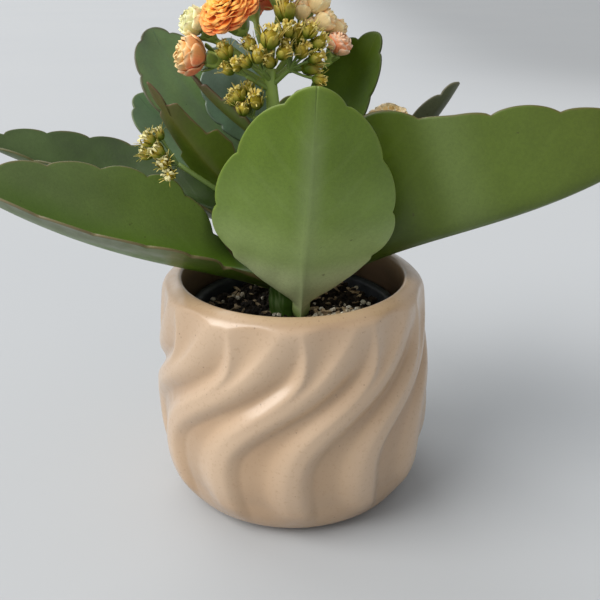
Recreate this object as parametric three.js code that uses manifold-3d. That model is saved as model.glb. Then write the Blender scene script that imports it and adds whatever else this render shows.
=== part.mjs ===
// A potted kalanchoe with double flowers: a swirl-fluted ceramic pot, a nursery pot and potting mix
// inside it, one flowering stem, thick round-toothed leaves, layered blooms and sprays of buds.
// Millimetres, +Z up. The origin is the centre of the pot's flat base and the front is toward -Y.

import * as THREE from 'three';
import { mergeVertices } from 'three/addons/utils/BufferGeometryUtils.js';
import Module from 'manifold-3d';

const wasm = await Module();
wasm.setup();

const GAP = 0.3; // clearance between pieces that rest on each other
const DEGREE = Math.PI / 180;

// ---------------------------------------------------------------- driving dimensions

const POT = {
  height: 86.5,
  // outer radius over height, measured over the crests of the flutes
  belly: [
    [0, 39], [1, 41], [4.3, 45], [13, 50.1], [26, 52.7], [47.5, 52.2], [69, 50], [84, 48.6], [86.5, 48.1],
  ],
  innerRadius: 41,
  innerBelly: 43,
  floor: 8,
  floorRadius: 37,
  // radius of the rounded rim over height; it trims the tops of the flutes
  rim: [
    [74, 53.5], [79, 50.8], [81.5, 49.4], [83, 48.5], [84.2, 47.4], [85.2, 46], [86, 44.4], [86.4, 43.2],
    [86.5, 42.4],
  ],
  flutes: 12,
  relief: 2.8,
  foot: [2, 16], // the heights between which the relief grows out of the smooth foot
  dish: [58, 74], // between these a panel starts to dip between its two upper ridges,
  hollow: 0.5, // at last by this share of the relief
  runOut: [62, 83], // between these the valleys fade toward the rim
  steep: [35, 60], // below these the wall from a valley to the next crest is steeper
  // how far each crest has swung round, in degrees, over height
  swirl: [
    [0, -27], [10, -29.3], [18, -31.5], [26, -32], [33, -30.7], [39, -28], [45, -23], [51, -15],
    [57, -6], [63, 1], [68, 4.2], [75, 5], [84, 3.4],
  ],
  // how far across its flute, from 0 to 1, the panel beside each crest ends, over height
  panel: [
    [20, 0.08], [34, 0.06], [46, 0.1], [58, 0.13], [65, 0.21], [69, 0.29], [74, 0.43],
    [78, 0.56], [81, 0.66], [85, 0.8],
  ],
  // and how far across the valley lies
  valley: [
    [20, 0.36], [34, 0.34], [40, 0.41], [46, 0.52], [54, 0.61], [60, 0.68], [65, 0.75],
    [69, 0.81], [74, 0.87], [80, 0.92], [86, 0.95],
  ],
  rows: [1.2, 4.3, 9, 15, 22, 30, 37, 43, 48.5, 54, 60, 66, 71, 76, 80, 82.8, 84.5, 85.7, 86.3],
};

const NURSERY = {
  rim: 73.5, lipRadius: 38.9, lipHeight: 3, topRadius: 36.3, baseRadius: 28, wall: 0.9,
  sides: 24, drains: 6, drainRadius: 3, drainCircle: 19,
};

const MIX = {
  level: 70, sides: 24, rings: [9, 16, 22.5, 28.5], spread: 29,
  perlite: 10, heaped: 7, bark: 9, seed: 41,
};
const HEAP = { x: 19, y: -16, height: 2.6, reach: 11 }; // a low heap of perlite on the front right

// The stem by height: [z, x, y, radius]. It stands in a plain hole in the mix.
const STEM = [
  [60, -3.4, 0.8, 6.2], [80, -2.3, 0.6, 6.4], [92, -2.2, 0.3, 6], [105, -2.6, 0, 5.4],
  [117, -3.8, -0.6, 4.7], [128, -5, -1.5, 3.9], [139, -5.9, -2.8, 2.9], [148, -6.6, -4, 2.3],
  [160, -7.5, -5, 1.9],
];

const SHOULDER = [0.1, 0.22, 0.52]; // along a blade, where its shoulder starts, is full and ends

// A leaf is a blade bent along a curved midrib. seat: the height and compass angle at which it meets
// the stem, with 0 toward +X and 90 toward +Y. clear: how far out from the stem it starts. path: the
// other three Bezier points of its midrib. face: where its upper side looks. half: widths left and
// right of the midrib. broad: where it is widest, from 0 at the blade's base to 1 at the tip. base and
// tip: how full the outline is there. fold and curl: degrees that each half rises at the midrib, and
// on to the margin. foot: half the width of the stalk. teeth: how many on a side. toothed: how far
// along the margin they start. sinus: how deep the notch between two teeth is. shoulder: how much wider
// the right half is near the stem.
const LEAVES = {
  leaf_front: {
    seat: [75, -50], clear: 2.1, path: [[3.5, -21.5, 90], [5, -39, 121], [7.2, -45, 160.5]],
    face: [0, 0.9, 0.3], half: [30.5, 32.5], broad: 0.5, base: 1.2, tip: 1.75, fold: [12, 12],
    curl: [6, 6],
    stalk: 0.07, foot: 3.2, teeth: 4, toothed: 0.37, sinus: 1.9, rows: 4, colour: 0x6d8f45,
  },
  leaf_right: {
    seat: [82, -14], path: [[35, -6, 107], [82, -20, 107], [118, -28, 142]], face: [-0.1, 0.2, 1],
    half: [34, 38.5], broad: 0.4, base: 0.3, tip: 2.1, fold: [40, 78], curl: [10, 4],
    stalk: 0.12, teeth: 6, toothed: 0.22, sinus: 2.6, shoulder: 11.5, rows: 3, colour: 0x5f7f3a,
  },
  leaf_left: {
    seat: [86, 196], path: [[-32, -13, 96], [-68, -21, 98], [-106, -27, 128]], face: [0, 0, 1],
    half: [19.5, 32.5], broad: 0.42, base: 1.15, tip: 2, fold: [29, 48], curl: [0, 6],
    stalk: 0.1, teeth: 6, toothed: 0.22, sinus: 2.6, rows: 3, colour: 0x5d8a3c,
  },
  leaf_left_back: {
    seat: [98.5, 160], path: [[-36, 24, 112], [-80, 30, 107], [-120, 32, 129]], face: [0, -0.1, 1],
    half: [12, 20], broad: 0.5, base: 0.6, tip: 2.1, fold: [40, 44], curl: [8, 8],
    stalk: 0.07, teeth: 6, toothed: 0.3, sinus: 2.2, rows: 2, columns: [0.5, 1], colour: 0x2f4a1f,
  },
  leaf_back: {
    seat: [80, 88], path: [[3, 30, 89], [8, 62, 99], [12, 92, 128]], face: [0, -0.3, 1],
    half: [31, 31], broad: 0.48, base: 0.9, tip: 1.7, fold: [22, 22], curl: [8, 8],
    stalk: 0.12, teeth: 5, toothed: 0.35, rows: 3, columns: [0.5, 1], colour: 0x527c38,
  },
  leaf_back_right: {
    seat: [95, 40], path: [[22, 29, 109.5], [54, 52, 113], [86, 70, 119]], face: [-0.1, -0.2, 1],
    half: [20, 18], broad: 0.5, base: 0.85, tip: 1.8, fold: [26, 36], curl: [8, 8],
    stalk: 0.12, teeth: 5, toothed: 0.35, rows: 2, columns: [0.5, 1], colour: 0x3e6430,
  },
  leaf_back_left: {
    seat: [104, 102], path: [[-10, 32, 113], [-22, 56, 124], [-36, 74, 148]], face: [0.2, -0.4, 1],
    half: [20, 20], broad: 0.55, base: 0.85, tip: 1.8, fold: [24, 24], curl: [8, 8],
    stalk: 0.12, teeth: 4, toothed: 0.35, rows: 2, columns: [0.5, 1], colour: 0x44703a,
  },
  leaf_upper_left: {
    seat: [121, 155], path: [[-22, 12, 135], [-42, 18, 150], [-50, 22, 171]], face: [0.5, -0.6, 0.5],
    half: [20, 16], broad: 0.56, base: 0.9, tip: 1.9, fold: [10, 12], curl: [4, 4],
    stalk: 0.12, teeth: 4, toothed: 0.35, sinus: 1.7, rows: 2, colour: 0x3b5a3c,
  },
  leaf_mid_left: {
    seat: [111, 142], path: [[-23, 14, 120], [-44, 23, 128], [-58, 27, 147]], face: [0.4, -0.5, 0.7],
    half: [15, 15], broad: 0.6, base: 0.9, tip: 2, fold: [10, 12], curl: [4, 4],
    stalk: 0.12, teeth: 4, toothed: 0.35, rows: 2, columns: [0.5, 1], colour: 0x4a6b52,
  },
  leaf_young_left: {
    seat: [115, 207], path: [[-22, -13.5, 120.5], [-34, -13, 137], [-47, -11, 157]], face: [0.3, 0.9, 0.35],
    half: [12, 14], broad: 0.42, base: 0.8, tip: 1.05, fold: [46, 20], curl: [6, 6],
    stalk: 0.12, teeth: 3, toothed: 0.42, sinus: 2.2, rows: 2, columns: [0.5, 1], colour: 0x5c6a2c,
  },
  leaf_bud_left: {
    seat: [136, 200], path: [[-15, -5, 141], [-27, -3, 148], [-33, -2, 158]], face: [0.5, 0.4, 0.6],
    half: [4.5, 4.5], broad: 0.45, base: 0.8, tip: 1.5, fold: [50, 50], curl: [6, 6],
    stalk: 0.12, teeth: 3, toothed: 0.4, rows: 1, columns: [1], colour: 0x5d5548,
  },
  leaf_centre: {
    seat: [129, 120], path: [[-14, 9, 138], [-21, 13, 150], [-23, 16, 168]], face: [0.1, -0.8, 0.4],
    half: [14, 13], broad: 0.55, base: 0.8, tip: 1.9, fold: [12, 12], curl: [4, 4],
    stalk: 0.12, teeth: 4, toothed: 0.4, rows: 2, columns: [0.5, 1], colour: 0x2f4a44,
  },
  leaf_upper_right: {
    seat: [119, 4], path: [[10.5, 2.6, 123], [19, 6, 145.2], [29, 6, 170.7]], face: [-0.5, -0.75, 0.3],
    half: [16, 10], broad: 0.7, base: 0.8, tip: 1.8, fold: [8, 18], curl: [4, 8],
    stalk: 0.12, teeth: 3, toothed: 0.5, rows: 2, columns: [0.5, 1], colour: 0x2f4a18,
  },
  leaf_mid_right: {
    seat: [104, 36], path: [[20, 17, 111], [44, 22, 121], [60, 19, 152.5]], face: [-0.4, 0.2, 0.9],
    half: [11, 11], broad: 0.5, base: 0.8, tip: 2.4, fold: [45, 50], curl: [6, 6],
    stalk: 0.12, teeth: 4, toothed: 0.35, rows: 2, columns: [0.5, 1], colour: 0x5f7352,
  },
  leaf_upper_back: {
    seat: [112, 80], path: [[1, 18, 123], [3, 31, 131], [4.5, 39, 147]], face: [0, -0.8, 0.5],
    half: [13, 13], broad: 0.55, base: 0.85, tip: 1.8, fold: [14, 14], curl: [5, 5],
    stalk: 0.12, teeth: 4, toothed: 0.35, rows: 2, columns: [0.5, 1], colour: 0x3b6132,
  },
};

// A bloom sits on its calyx. at: the middle of its base. axis: where it faces. shape: its layers of
// petals from the outside in, each [radius, height] of their ends, and the roots between the layers.
// cup: how large its calyx is, 1 being the usual.
const OPEN = {
  petals: 8, base: 2.3, layers: [[10.4, 1.8], [8.8, 4.4], [6.2, 6.2], [3.4, 7]],
  roots: [[1.9, 2.2], [1.6, 3.2], [1.2, 4.2]], centre: 5.4,
};
const SMALL = {
  petals: 7, base: 2.3, layers: [[9.8, 2], [7.4, 5], [4.4, 6.6]],
  roots: [[1.9, 2.3], [1.5, 3.6]], centre: 5.2,
};
const HALF_OPEN = {
  petals: 5, base: 2.2, belly: [4.5, 3.2], layers: [[4.3, 7.4], [3.2, 8.3], [1.7, 9]],
  roots: [[2.9, 6], [1.8, 7.2]], centre: 8.3,
};
const BLOOMS = {
  bloom_front: {
    at: [-19, -4.6, 176.6], axis: [-0.42, -0.46, 0.8], size: 1.06, shape: OPEN, colour: 0xf2965a,
    cup: 1.45,
  },
  bloom_top: {
    at: [-4, 3, 185], axis: [0.05, 0, 1], size: 1, shape: OPEN, colour: 0xf4a765, cup: 1.4,
  },
  bloom_back: { at: [-14, 13, 178], axis: [-0.3, 0.6, 0.75], size: 1, shape: SMALL, colour: 0xf0905c },
  bloom_right: { at: [12, 9, 187], axis: [0.5, 0.25, 0.85], size: 0.9, shape: SMALL, colour: 0xf6b070 },
  bloom_side: {
    at: [34.5, 9, 139.5], axis: [0.1, -0.35, 0.9], size: 0.8, shape: SMALL, colour: 0xf3c184,
  },
  bloom_half_left: {
    at: [-28.6, -4, 163.2], axis: [-0.85, -0.25, 0.2], size: 1.15, shape: HALF_OPEN, colour: 0xf2c3a0,
  },
  bloom_half_pale: {
    at: [-29.5, 2.4, 171.5], axis: [-0.7, -0.1, 0.6], size: 0.95, shape: HALF_OPEN, colour: 0xeef0c4,
  },
  bloom_half_right: {
    at: [13.8, -0.4, 164.6], axis: [0.5, -0.2, 0.8], size: 0.78, shape: HALF_OPEN, colour: 0xf5a67c,
  },
};

// Each flower branch leaves the stem at a height and passes these points on its way to the calyx.
const BRANCHES = {
  bloom_front: [157, [-11, -3.4, 164]],
  bloom_top: [158, [-6.5, -1, 166], [-4.5, 2, 176]],
  bloom_back: [157, [-9, 2, 163], [-11.5, 7, 170]],
  bloom_right: [156, [-1, 2, 164], [6, 6, 176]],
  bloom_side: [106, [10, 8, 115], [24, 10, 127]],
  bloom_half_left: [154, [-14, -4, 158]],
  bloom_half_pale: [156, [-14, 0.5, 161], [-21, 1.5, 166]],
  bloom_half_right: [156, [-3, -0.6, 158.4], [4, -0.6, 159.8]],
};

// A spray grows from a seat on the stem, given as a height and compass angle, to a hub that carries
// its stalked buds, each [x, y, z, radius].
const SPRAY_CLEARANCE = 0.95; // from the stem's side to the middle of a spray's slanting root
const SPRAYS = {
  spray_left: {
    seat: [153.6, 211.5], hub: [-15, -9.4, 158.4], colour: 0xa8a04a,
    buds: [[-21.5, -10, 165.9, 2.3], [-20.8, -8.6, 160.4, 1.9], [-17.9, -12, 162, 1.8]],
  },
  spray_front: {
    seat: [157, 249], hub: [-9.6, -10.8, 160], colour: 0xc0a23f,
    buds: [[-6.9, -14, 170.4, 2.9], [-11, -14.4, 165.1, 2.2], [-7.2, -12.6, 163.3, 2.1],
      [-13.4, -11.5, 168.4, 1.9], [-3, -13.4, 165.8, 2], [-14.8, -12.6, 163, 1.8]],
  },
  spray_right: {
    seat: [155.5, -30], hub: [-1, -7.2, 160], colour: 0x97953f,
    buds: [[-2.1, -4, 177.6, 3], [1.5, -7.4, 170.8, 2.6], [3, -10, 166.2, 2.3],
      [5.6, -6.5, 160.8, 2.5], [8.6, -9, 157, 1.8], [8.6, -8.4, 168.6, 2.4], [-1.4, -10.6, 172.6, 2.1],
      [5.4, -10, 172.2, 2], [7.6, -9.6, 164, 2.1], [-2.2, -11, 167.8, 1.8]],
  },
  spray_peach: {
    seat: [156.8, 8], way: [[-1.4, -4, 160.6]], hub: [-0.2, -0.4, 166.2], colour: 0xe9c9a0,
    buds: [[3.2, 0.5, 178, 2.9], [8.4, 0.6, 180.6, 3.5], [10.6, 0.6, 174.6, 3.2],
      [14.6, 4.8, 171.6, 3], [5.8, 1.4, 173, 2.5]],
  },
  spray_low: {
    seat: [141, 216], hub: [-13.4, -8.4, 145], colour: 0x8f8a3c,
    buds: [[-17.6, -9.4, 152.1, 2.1], [-14.6, -8, 154, 1.7], [-12, -10.6, 150.3, 2.4],
      [-16.2, -10.8, 147.7, 1.9], [-20, -7.4, 150, 1.7]],
  },
  spray_side: {
    seat: [109, 222], way: [[-16, -13, 115]], hub: [-38, -17, 131], colour: 0xc8bd55,
    buds: [[-46.9, -17, 138.9, 1.9], [-44, -18.6, 135.6, 1.9], [-42.2, -18.6, 131.6, 1.8],
      [-40.5, -18.4, 127.8, 1.7], [-48, -15.6, 134.2, 1.8], [-44, -14.6, 140, 1.6]],
  },
};

// ---------------------------------------------------------------- small helpers

/** A seeded draw between 0 and 1. */
function seeded(seed) {
  let state = seed;
  return () => {
    state = (state + 0x6d2b79f5) | 0;
    let mixed = Math.imul(state ^ (state >>> 15), 1 | state);
    mixed = (mixed + Math.imul(mixed ^ (mixed >>> 7), 61 | mixed)) ^ mixed;
    return ((mixed ^ (mixed >>> 14)) >>> 0) / 4294967296;
  };
}

const vector = (p) => new THREE.Vector3(...p);
const distance = (p, q) => Math.hypot(p[0] - q[0], p[1] - q[1], p[2] - q[2]);
const clamp01 = (x) => Math.min(1, Math.max(0, x));
const mix = (a, b, t) => a + (b - a) * t;

/** A smooth step from 0 at a to 1 at b. */
function rise(a, b, x) {
  const t = clamp01((x - a) / (b - a));
  return t * t * (3 - 2 * t);
}

/** The smooth curve through sorted [x, y] points, read at x. */
function through(points, x) {
  const last = points.length - 1;
  if (x <= points[0][0]) return points[0][1];
  if (x >= points[last][0]) return points[last][1];
  let i = 0;
  while (x > points[i + 1][0]) i += 1;
  const slope = (j) => {
    const lo = points[Math.max(j - 1, 0)];
    const hi = points[Math.min(j + 1, last)];
    return (hi[1] - lo[1]) / (hi[0] - lo[0]);
  };
  const [x0, y0] = points[i];
  const [x1, y1] = points[i + 1];
  const width = x1 - x0;
  const t = (x - x0) / width;
  const t2 = t * t;
  const t3 = t2 * t;
  return (2 * t3 - 3 * t2 + 1) * y0 + (t3 - 2 * t2 + t) * width * slope(i)
    + (3 * t2 - 2 * t3) * y1 + (t3 - t2) * width * slope(i + 1);
}

/** A geometry from a list of points and triangles. */
function body(points, triangles) {
  const geometry = new THREE.BufferGeometry();
  geometry.setAttribute('position', new THREE.Float32BufferAttribute(points.flat(), 3));
  geometry.setIndex(triangles.flat());
  return geometry;
}

/** The solid of a closed geometry, ready for joins and cuts. */
function solid(geometry) {
  geometry.deleteAttribute('normal');
  geometry.deleteAttribute('uv');
  const merged = mergeVertices(geometry, 1e-4);
  return new wasm.Manifold(new wasm.Mesh({
    numProp: 3,
    vertProperties: new Float32Array(merged.attributes.position.array),
    triVerts: new Uint32Array(merged.index.array),
  }));
}

/** Joins solids into one body, without sealed hollows or loose scraps. */
function fuse(solids) {
  const joined = solids.reduce((sum, next) => sum.add(next));
  return joined.decompose().reduce((best, next) => (next.volume() > best.volume() ? next : best));
}

/** The geometry of a solid. */
function geometryOf(manifold) {
  const mesh = manifold.getMesh();
  const geometry = new THREE.BufferGeometry();
  geometry.setAttribute('position', new THREE.Float32BufferAttribute(mesh.vertProperties, 3));
  geometry.setIndex([...mesh.triVerts]);
  return geometry;
}

/** Joins rings of equally many points into a closed skin, each end fanned to its centre point. */
function skin(rings, first, final) {
  const points = rings.flat();
  const count = rings[0].length;
  const triangles = [];
  for (let row = 0; row < rings.length - 1; row += 1) {
    for (let k = 0; k < count; k += 1) {
      const a = row * count + k;
      const b = row * count + ((k + 1) % count);
      const short = distance(points[a], points[b + count]) < distance(points[b], points[a + count]);
      if (short) triangles.push([a, b, b + count], [a, b + count, a + count]);
      else triangles.push([a, b, a + count], [b, b + count, a + count]);
    }
  }
  const start = points.push(first) - 1;
  const end = points.push(final) - 1;
  const top = (rings.length - 1) * count;
  for (let k = 0; k < count; k += 1) {
    triangles.push([start, (k + 1) % count, k]);
    triangles.push([end, top + k, top + ((k + 1) % count)]);
  }
  return body(points, triangles);
}

/** A closed tube along points, with a radius at each of them. */
function taper(points, radii, sides, steps) {
  const curve = new THREE.CatmullRomCurve3(points.map(vector));
  const frames = curve.computeFrenetFrames(steps);
  const ladder = radii.map((radius, i) => [i / (radii.length - 1), radius]);
  const rings = [];
  for (let i = 0; i <= steps; i += 1) {
    const t = i / steps;
    const centre = curve.getPoint(t);
    const radius = through(ladder, t);
    const ring = [];
    for (let k = 0; k < sides; k += 1) {
      const angle = (2 * Math.PI * k) / sides;
      const spot = centre.clone()
        .addScaledVector(frames.normals[i], radius * Math.cos(angle))
        .addScaledVector(frames.binormals[i], radius * Math.sin(angle));
      ring.push(spot.toArray());
    }
    rings.push(ring);
  }
  return skin(rings, curve.getPoint(0).toArray(), curve.getPoint(1).toArray());
}

/** The stem's centre and radius at a height. */
function stemAt(z) {
  const [x, y, radius] = [1, 2, 3].map((column) => through(STEM.map((row) => [row[0], row[column]]), z));
  return { x, y, radius };
}

/** A point beside the stem at a height and compass angle, a clearance out from its side. */
function stemSeat([height, compass], clearance) {
  const { x, y, radius } = stemAt(height);
  const out = radius + clearance;
  return [x + out * Math.cos(compass * DEGREE), y + out * Math.sin(compass * DEGREE), height];
}

const plant = new THREE.Group();

/** Adds a named sub-part with its own material. */
function place(name, geometry, color, roughness) {
  geometry.computeVertexNormals();
  const material = new THREE.MeshStandardMaterial({ color, roughness, metalness: 0 });
  const mesh = new THREE.Mesh(geometry, material);
  mesh.name = name;
  plant.add(mesh);
}

// ---------------------------------------------------------------- ceramic pot

/** Where the fall from the panel to the valley starts and ends within one flute, at a height. */
function flank(z) {
  return [through(POT.panel, z), through(POT.valley, z)];
}

/** Height of the relief, from 0 in the valley to 1 on the crest, at a place across one flute. */
function fluteHeight(t, z) {
  const [edge, valley] = flank(z);
  if (t < edge) return 1 - POT.hollow * Math.sin(Math.PI * (t / edge)) * rise(...POT.dish, z);
  const drop = 1 - 0.95 * rise(...POT.runOut, z);
  if (t < valley) {
    return 1 - drop * (0.5 - 0.5 * Math.cos(Math.PI * ((t - edge) / (valley - edge)) ** 1.3));
  }
  const late = 1.7 - 0.7 * rise(...POT.steep, z);
  return 1 - drop * (0.5 + 0.5 * Math.cos(Math.PI * ((t - valley) / (1 - valley)) ** late));
}

/** The smaller of two lengths, rounded over where they cross. */
function lesser(a, b) {
  return (a + b) / 2 - Math.hypot((a - b) / 2, 0.3);
}

function potGeometry() {
  const pitch = 360 / POT.flutes;
  const ring = (radiusAt, z) => {
    const [edge, valley] = flank(z);
    const points = [];
    for (let flute = 0; flute < POT.flutes; flute += 1) {
      for (const t of [0, edge / 2, edge, valley, mix(valley, 1, 0.45), mix(valley, 1, 0.8)]) {
        const angle = (flute + t) * pitch + through(POT.swirl, z);
        const radius = radiusAt(t);
        points.push([radius * Math.sin(angle * DEGREE), -radius * Math.cos(angle * DEGREE), z]);
      }
    }
    return points;
  };
  const plain = (radius, z) => ring(() => radius, z);
  const outer = POT.rows.map((z) => ring((t) => {
    const fluted = through(POT.belly, z) - POT.relief * rise(...POT.foot, z) * (1 - fluteHeight(t, z));
    return z < POT.rim[0][0] ? fluted : lesser(fluted, through(POT.rim, z));
  }, z));
  const rim = [
    plain(POT.innerRadius + 1.3, POT.height),
    plain(POT.innerRadius + 0.3, POT.height - 0.5),
    plain(POT.innerRadius, POT.height - 1.6),
  ];
  const inside = [
    plain(POT.innerBelly, POT.height * 0.6),
    plain(POT.innerBelly - 1, POT.height * 0.3),
    plain(POT.floorRadius, POT.floor),
  ];
  const rings = [plain(POT.belly[0][1], 0), ...outer, ...rim, ...inside];
  return skin(rings, [0, 0, 0], [0, 0, POT.floor]);
}

place('ceramic_pot', potGeometry(), 0xc9b296, 0.45);

// ---------------------------------------------------------------- nursery pot

function nurseryGeometry() {
  const n = NURSERY;
  const foot = POT.floor + GAP;
  const ring = (radius, z) => Array.from({ length: n.sides }, (_, k) => {
    const angle = (2 * Math.PI * k) / n.sides;
    return [radius * Math.cos(angle), radius * Math.sin(angle), z];
  });
  const rings = [
    ring(n.baseRadius - 1, foot), ring(n.baseRadius, foot + 1),
    ring(n.topRadius, n.rim - n.lipHeight), ring(n.lipRadius - 0.4, n.rim - n.lipHeight),
    ring(n.lipRadius, n.rim - 0.6), ring(n.lipRadius - 0.6, n.rim),
    ring(n.topRadius - n.wall + 0.3, n.rim), ring(n.topRadius - n.wall - 0.2, n.rim - 1.2),
    ring(n.baseRadius - n.wall - 0.3, foot + 1 + n.wall), ring(n.baseRadius - 2, foot + n.wall),
  ];
  let pot = solid(skin(rings, [0, 0, foot], [0, 0, foot + n.wall]));
  for (let k = 0; k < n.drains; k += 1) {
    const angle = (2 * Math.PI * k) / n.drains;
    const drill = new THREE.CylinderGeometry(n.drainRadius, n.drainRadius, 4, 8);
    drill.rotateX(Math.PI / 2);
    drill.translate(n.drainCircle * Math.cos(angle), n.drainCircle * Math.sin(angle), foot);
    pot = pot.subtract(solid(drill));
  }
  return geometryOf(pot);
}

place('nursery_pot', nurseryGeometry(), 0x23262b, 0.5);

// ---------------------------------------------------------------- potting mix

/** The stem's skin between heights, grown outward by a margin. */
function stemSkin(heights, grow) {
  const rings = heights.map((z) => {
    const { x, y, radius } = stemAt(z);
    return Array.from({ length: 10 }, (_, k) => {
      const angle = (2 * Math.PI * k) / 10;
      return [x + (radius + grow) * Math.cos(angle), y + (radius + grow) * Math.sin(angle), z];
    });
  });
  const [low, high] = [heights[0], heights[heights.length - 1]];
  return skin(rings, [stemAt(low).x, stemAt(low).y, low], [stemAt(high).x, stemAt(high).y, high]);
}

/** Height of the mix: gentle lumps and the heap. */
function mixLevel(x, y) {
  const lumps = 0.9 * Math.sin(x * 0.35 + 1) * Math.cos(y * 0.31) + 0.6 * Math.sin(x * 0.8 - y * 0.62);
  const heap = HEAP.height * Math.exp(-((x - HEAP.x) ** 2 + (y - HEAP.y) ** 2) / HEAP.reach ** 2);
  return MIX.level + lumps + heap;
}

/** One grain of the mix: a shape stretched, turned and sunk a little into the surface at (x, y). */
function lump(geometry, scale, turn, x, y, sink) {
  geometry.scale(...scale);
  geometry.rotateX(turn[0]);
  geometry.rotateZ(turn[1]);
  geometry.translate(x, y, mixLevel(x, y) - sink);
  return solid(geometry);
}

function mixGeometry() {
  const n = NURSERY;
  const foot = POT.floor + GAP + n.wall + GAP;
  const bottom = n.baseRadius - n.wall - 0.6;
  const topWall = n.topRadius - n.wall - 1.2;
  const ring = (radius, zAt) => Array.from({ length: MIX.sides }, (_, k) => {
    const angle = (2 * Math.PI * k) / MIX.sides;
    const x = radius * Math.cos(angle);
    const y = radius * Math.sin(angle);
    return [x, y, zAt(x, y)];
  });
  const rings = [
    ring(bottom - 1.5, () => foot), ring(bottom, () => foot + 2),
    ring(topWall, () => MIX.level - 2.5), ...MIX.rings.map((r) => ring(r, mixLevel)).reverse(),
  ];
  let mixed = solid(skin(rings, [0, 0, foot], [0, 0, mixLevel(0, 0)]));

  const random = seeded(MIX.seed);
  const spot = (inner) => {
    const angle = 2 * Math.PI * random();
    const radius = mix(inner, MIX.spread, Math.sqrt(random()));
    return [radius * Math.cos(angle), radius * Math.sin(angle)];
  };
  const lumps = [];
  for (let k = 0; k < MIX.perlite; k += 1) {
    const size = mix(1, 1.7, random());
    const turn = [3 * random(), 3 * random()];
    const nearby = (centre) => centre + HEAP.reach * (random() - 0.5);
    const [x, y] = k < MIX.heaped ? [nearby(HEAP.x), nearby(HEAP.y)] : spot(12);
    lumps.push(lump(new THREE.OctahedronGeometry(size), [1, 1.2, 0.9], turn, x, y, 0.2));
  }
  for (let k = 0; k < MIX.bark; k += 1) {
    const length = mix(3, 8, random());
    const turn = [0.5 * (random() - 0.5), 6 * random()];
    const [x, y] = spot(12);
    lumps.push(lump(new THREE.BoxGeometry(length, 2, 1.8), [1, 1, 1], turn, x, y, 0.1));
  }
  mixed = fuse([mixed, ...lumps]);
  const hole = stemSkin([STEM[0][0] - GAP, 66, 72, 90], GAP + 0.1);
  return geometryOf(fuse([mixed.subtract(solid(hole))]));
}

place('potting_mix', mixGeometry(), 0x3a2c21, 0.95);

// ---------------------------------------------------------------- leaves

/** The curve of a leaf's midrib, from its seat on the stem to its tip. */
function midribCurve({ seat, clear = 2 * GAP, path }) {
  return new THREE.CubicBezierCurve3(...[stemSeat(seat, clear), ...path].map(vector));
}

/** The midrib's frame at t: a point, the way across and the upper side. */
function midrib(leaf, t) {
  const curve = midribCurve(leaf);
  const along = curve.getTangent(t);
  const across = new THREE.Vector3().crossVectors(along, vector(leaf.face)).normalize();
  const up = new THREE.Vector3().crossVectors(across, along);
  return { point: curve.getPoint(t), across, up };
}

/** Half-width of the blade at t, on the left (0) or right (1), before its teeth are cut. */
function halfWidth(leaf, side, t) {
  const q = clamp01((t - leaf.stalk) / (1 - leaf.stalk));
  const swell = q < leaf.broad
    ? Math.sin((Math.PI / 2) * (q / leaf.broad)) ** leaf.base
    : (1 - ((q - leaf.broad) / (1 - leaf.broad)) ** leaf.tip) ** (1 / leaf.tip);
  const [from, full, to] = SHOULDER;
  const shoulder = side ? (leaf.shoulder ?? 0) * rise(from, full, q) * (1 - rise(full, to, q)) : 0;
  const blade = leaf.half[side] * swell + shoulder;
  const stalk = stalkHalf(leaf) * (1 - q);
  return Math.hypot(blade, stalk);
}

const stalkHalf = (leaf) => leaf.foot ?? Math.min(5, 0.16 * Math.max(...leaf.half));

/** A point of the blade's upper face, a distance s out from the midrib. */
function bladePoint(leaf, side, s, t) {
  const { point, across, up } = midrib(leaf, t);
  const open = rise(0, 0.3, t);
  const reach = leaf.half[side];
  const fold = leaf.fold[side] * DEGREE * open;
  const curl = leaf.curl[side] * DEGREE * open + 1e-6;
  const out = (reach / curl) * (Math.sin(fold + (curl * s) / reach) - Math.sin(fold));
  const lift = (reach / curl) * (Math.cos(fold) - Math.cos(fold + (curl * s) / reach));
  return point.clone().addScaledVector(across, side ? out : -out).addScaledVector(up, lift);
}

/** The blade's upper-side direction at (s, t). */
function bladeUp(leaf, side, s, t) {
  if (s < 1e-6) return midrib(leaf, t).up;
  const step = 1e-3;
  const here = bladePoint(leaf, side, s, t);
  const further = bladePoint(leaf, side, s + step, t).sub(here);
  const on = bladePoint(leaf, side, s, Math.min(t, 1 - step) + step)
    .sub(bladePoint(leaf, side, s, Math.min(t, 1 - step)));
  const up = new THREE.Vector3().crossVectors(further, on).normalize();
  return side ? up : up.negate();
}

/** How thick the leaf is at (s, t): a full stalk and midrib, thinning to the margin. */
function thickness(leaf, side, s, t) {
  const stalk = Math.min(5, 0.9 + 0.26 * Math.max(...leaf.half));
  const edge = mix(0.5 * stalk, 0.8, rise(0, leaf.stalk * 2, t));
  const middle = mix(1.2, stalk, (1 - t) ** 2.4);
  const out = s / Math.max(halfWidth(leaf, side, t), 1e-6);
  const ridge = 0.18 * stalk * Math.max(0, 1 - s / 2.5) * (1 - t);
  return edge + Math.max(0, middle - edge) * (1 - Math.min(out, 1)) ** 0.8 + ridge;
}

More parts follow.
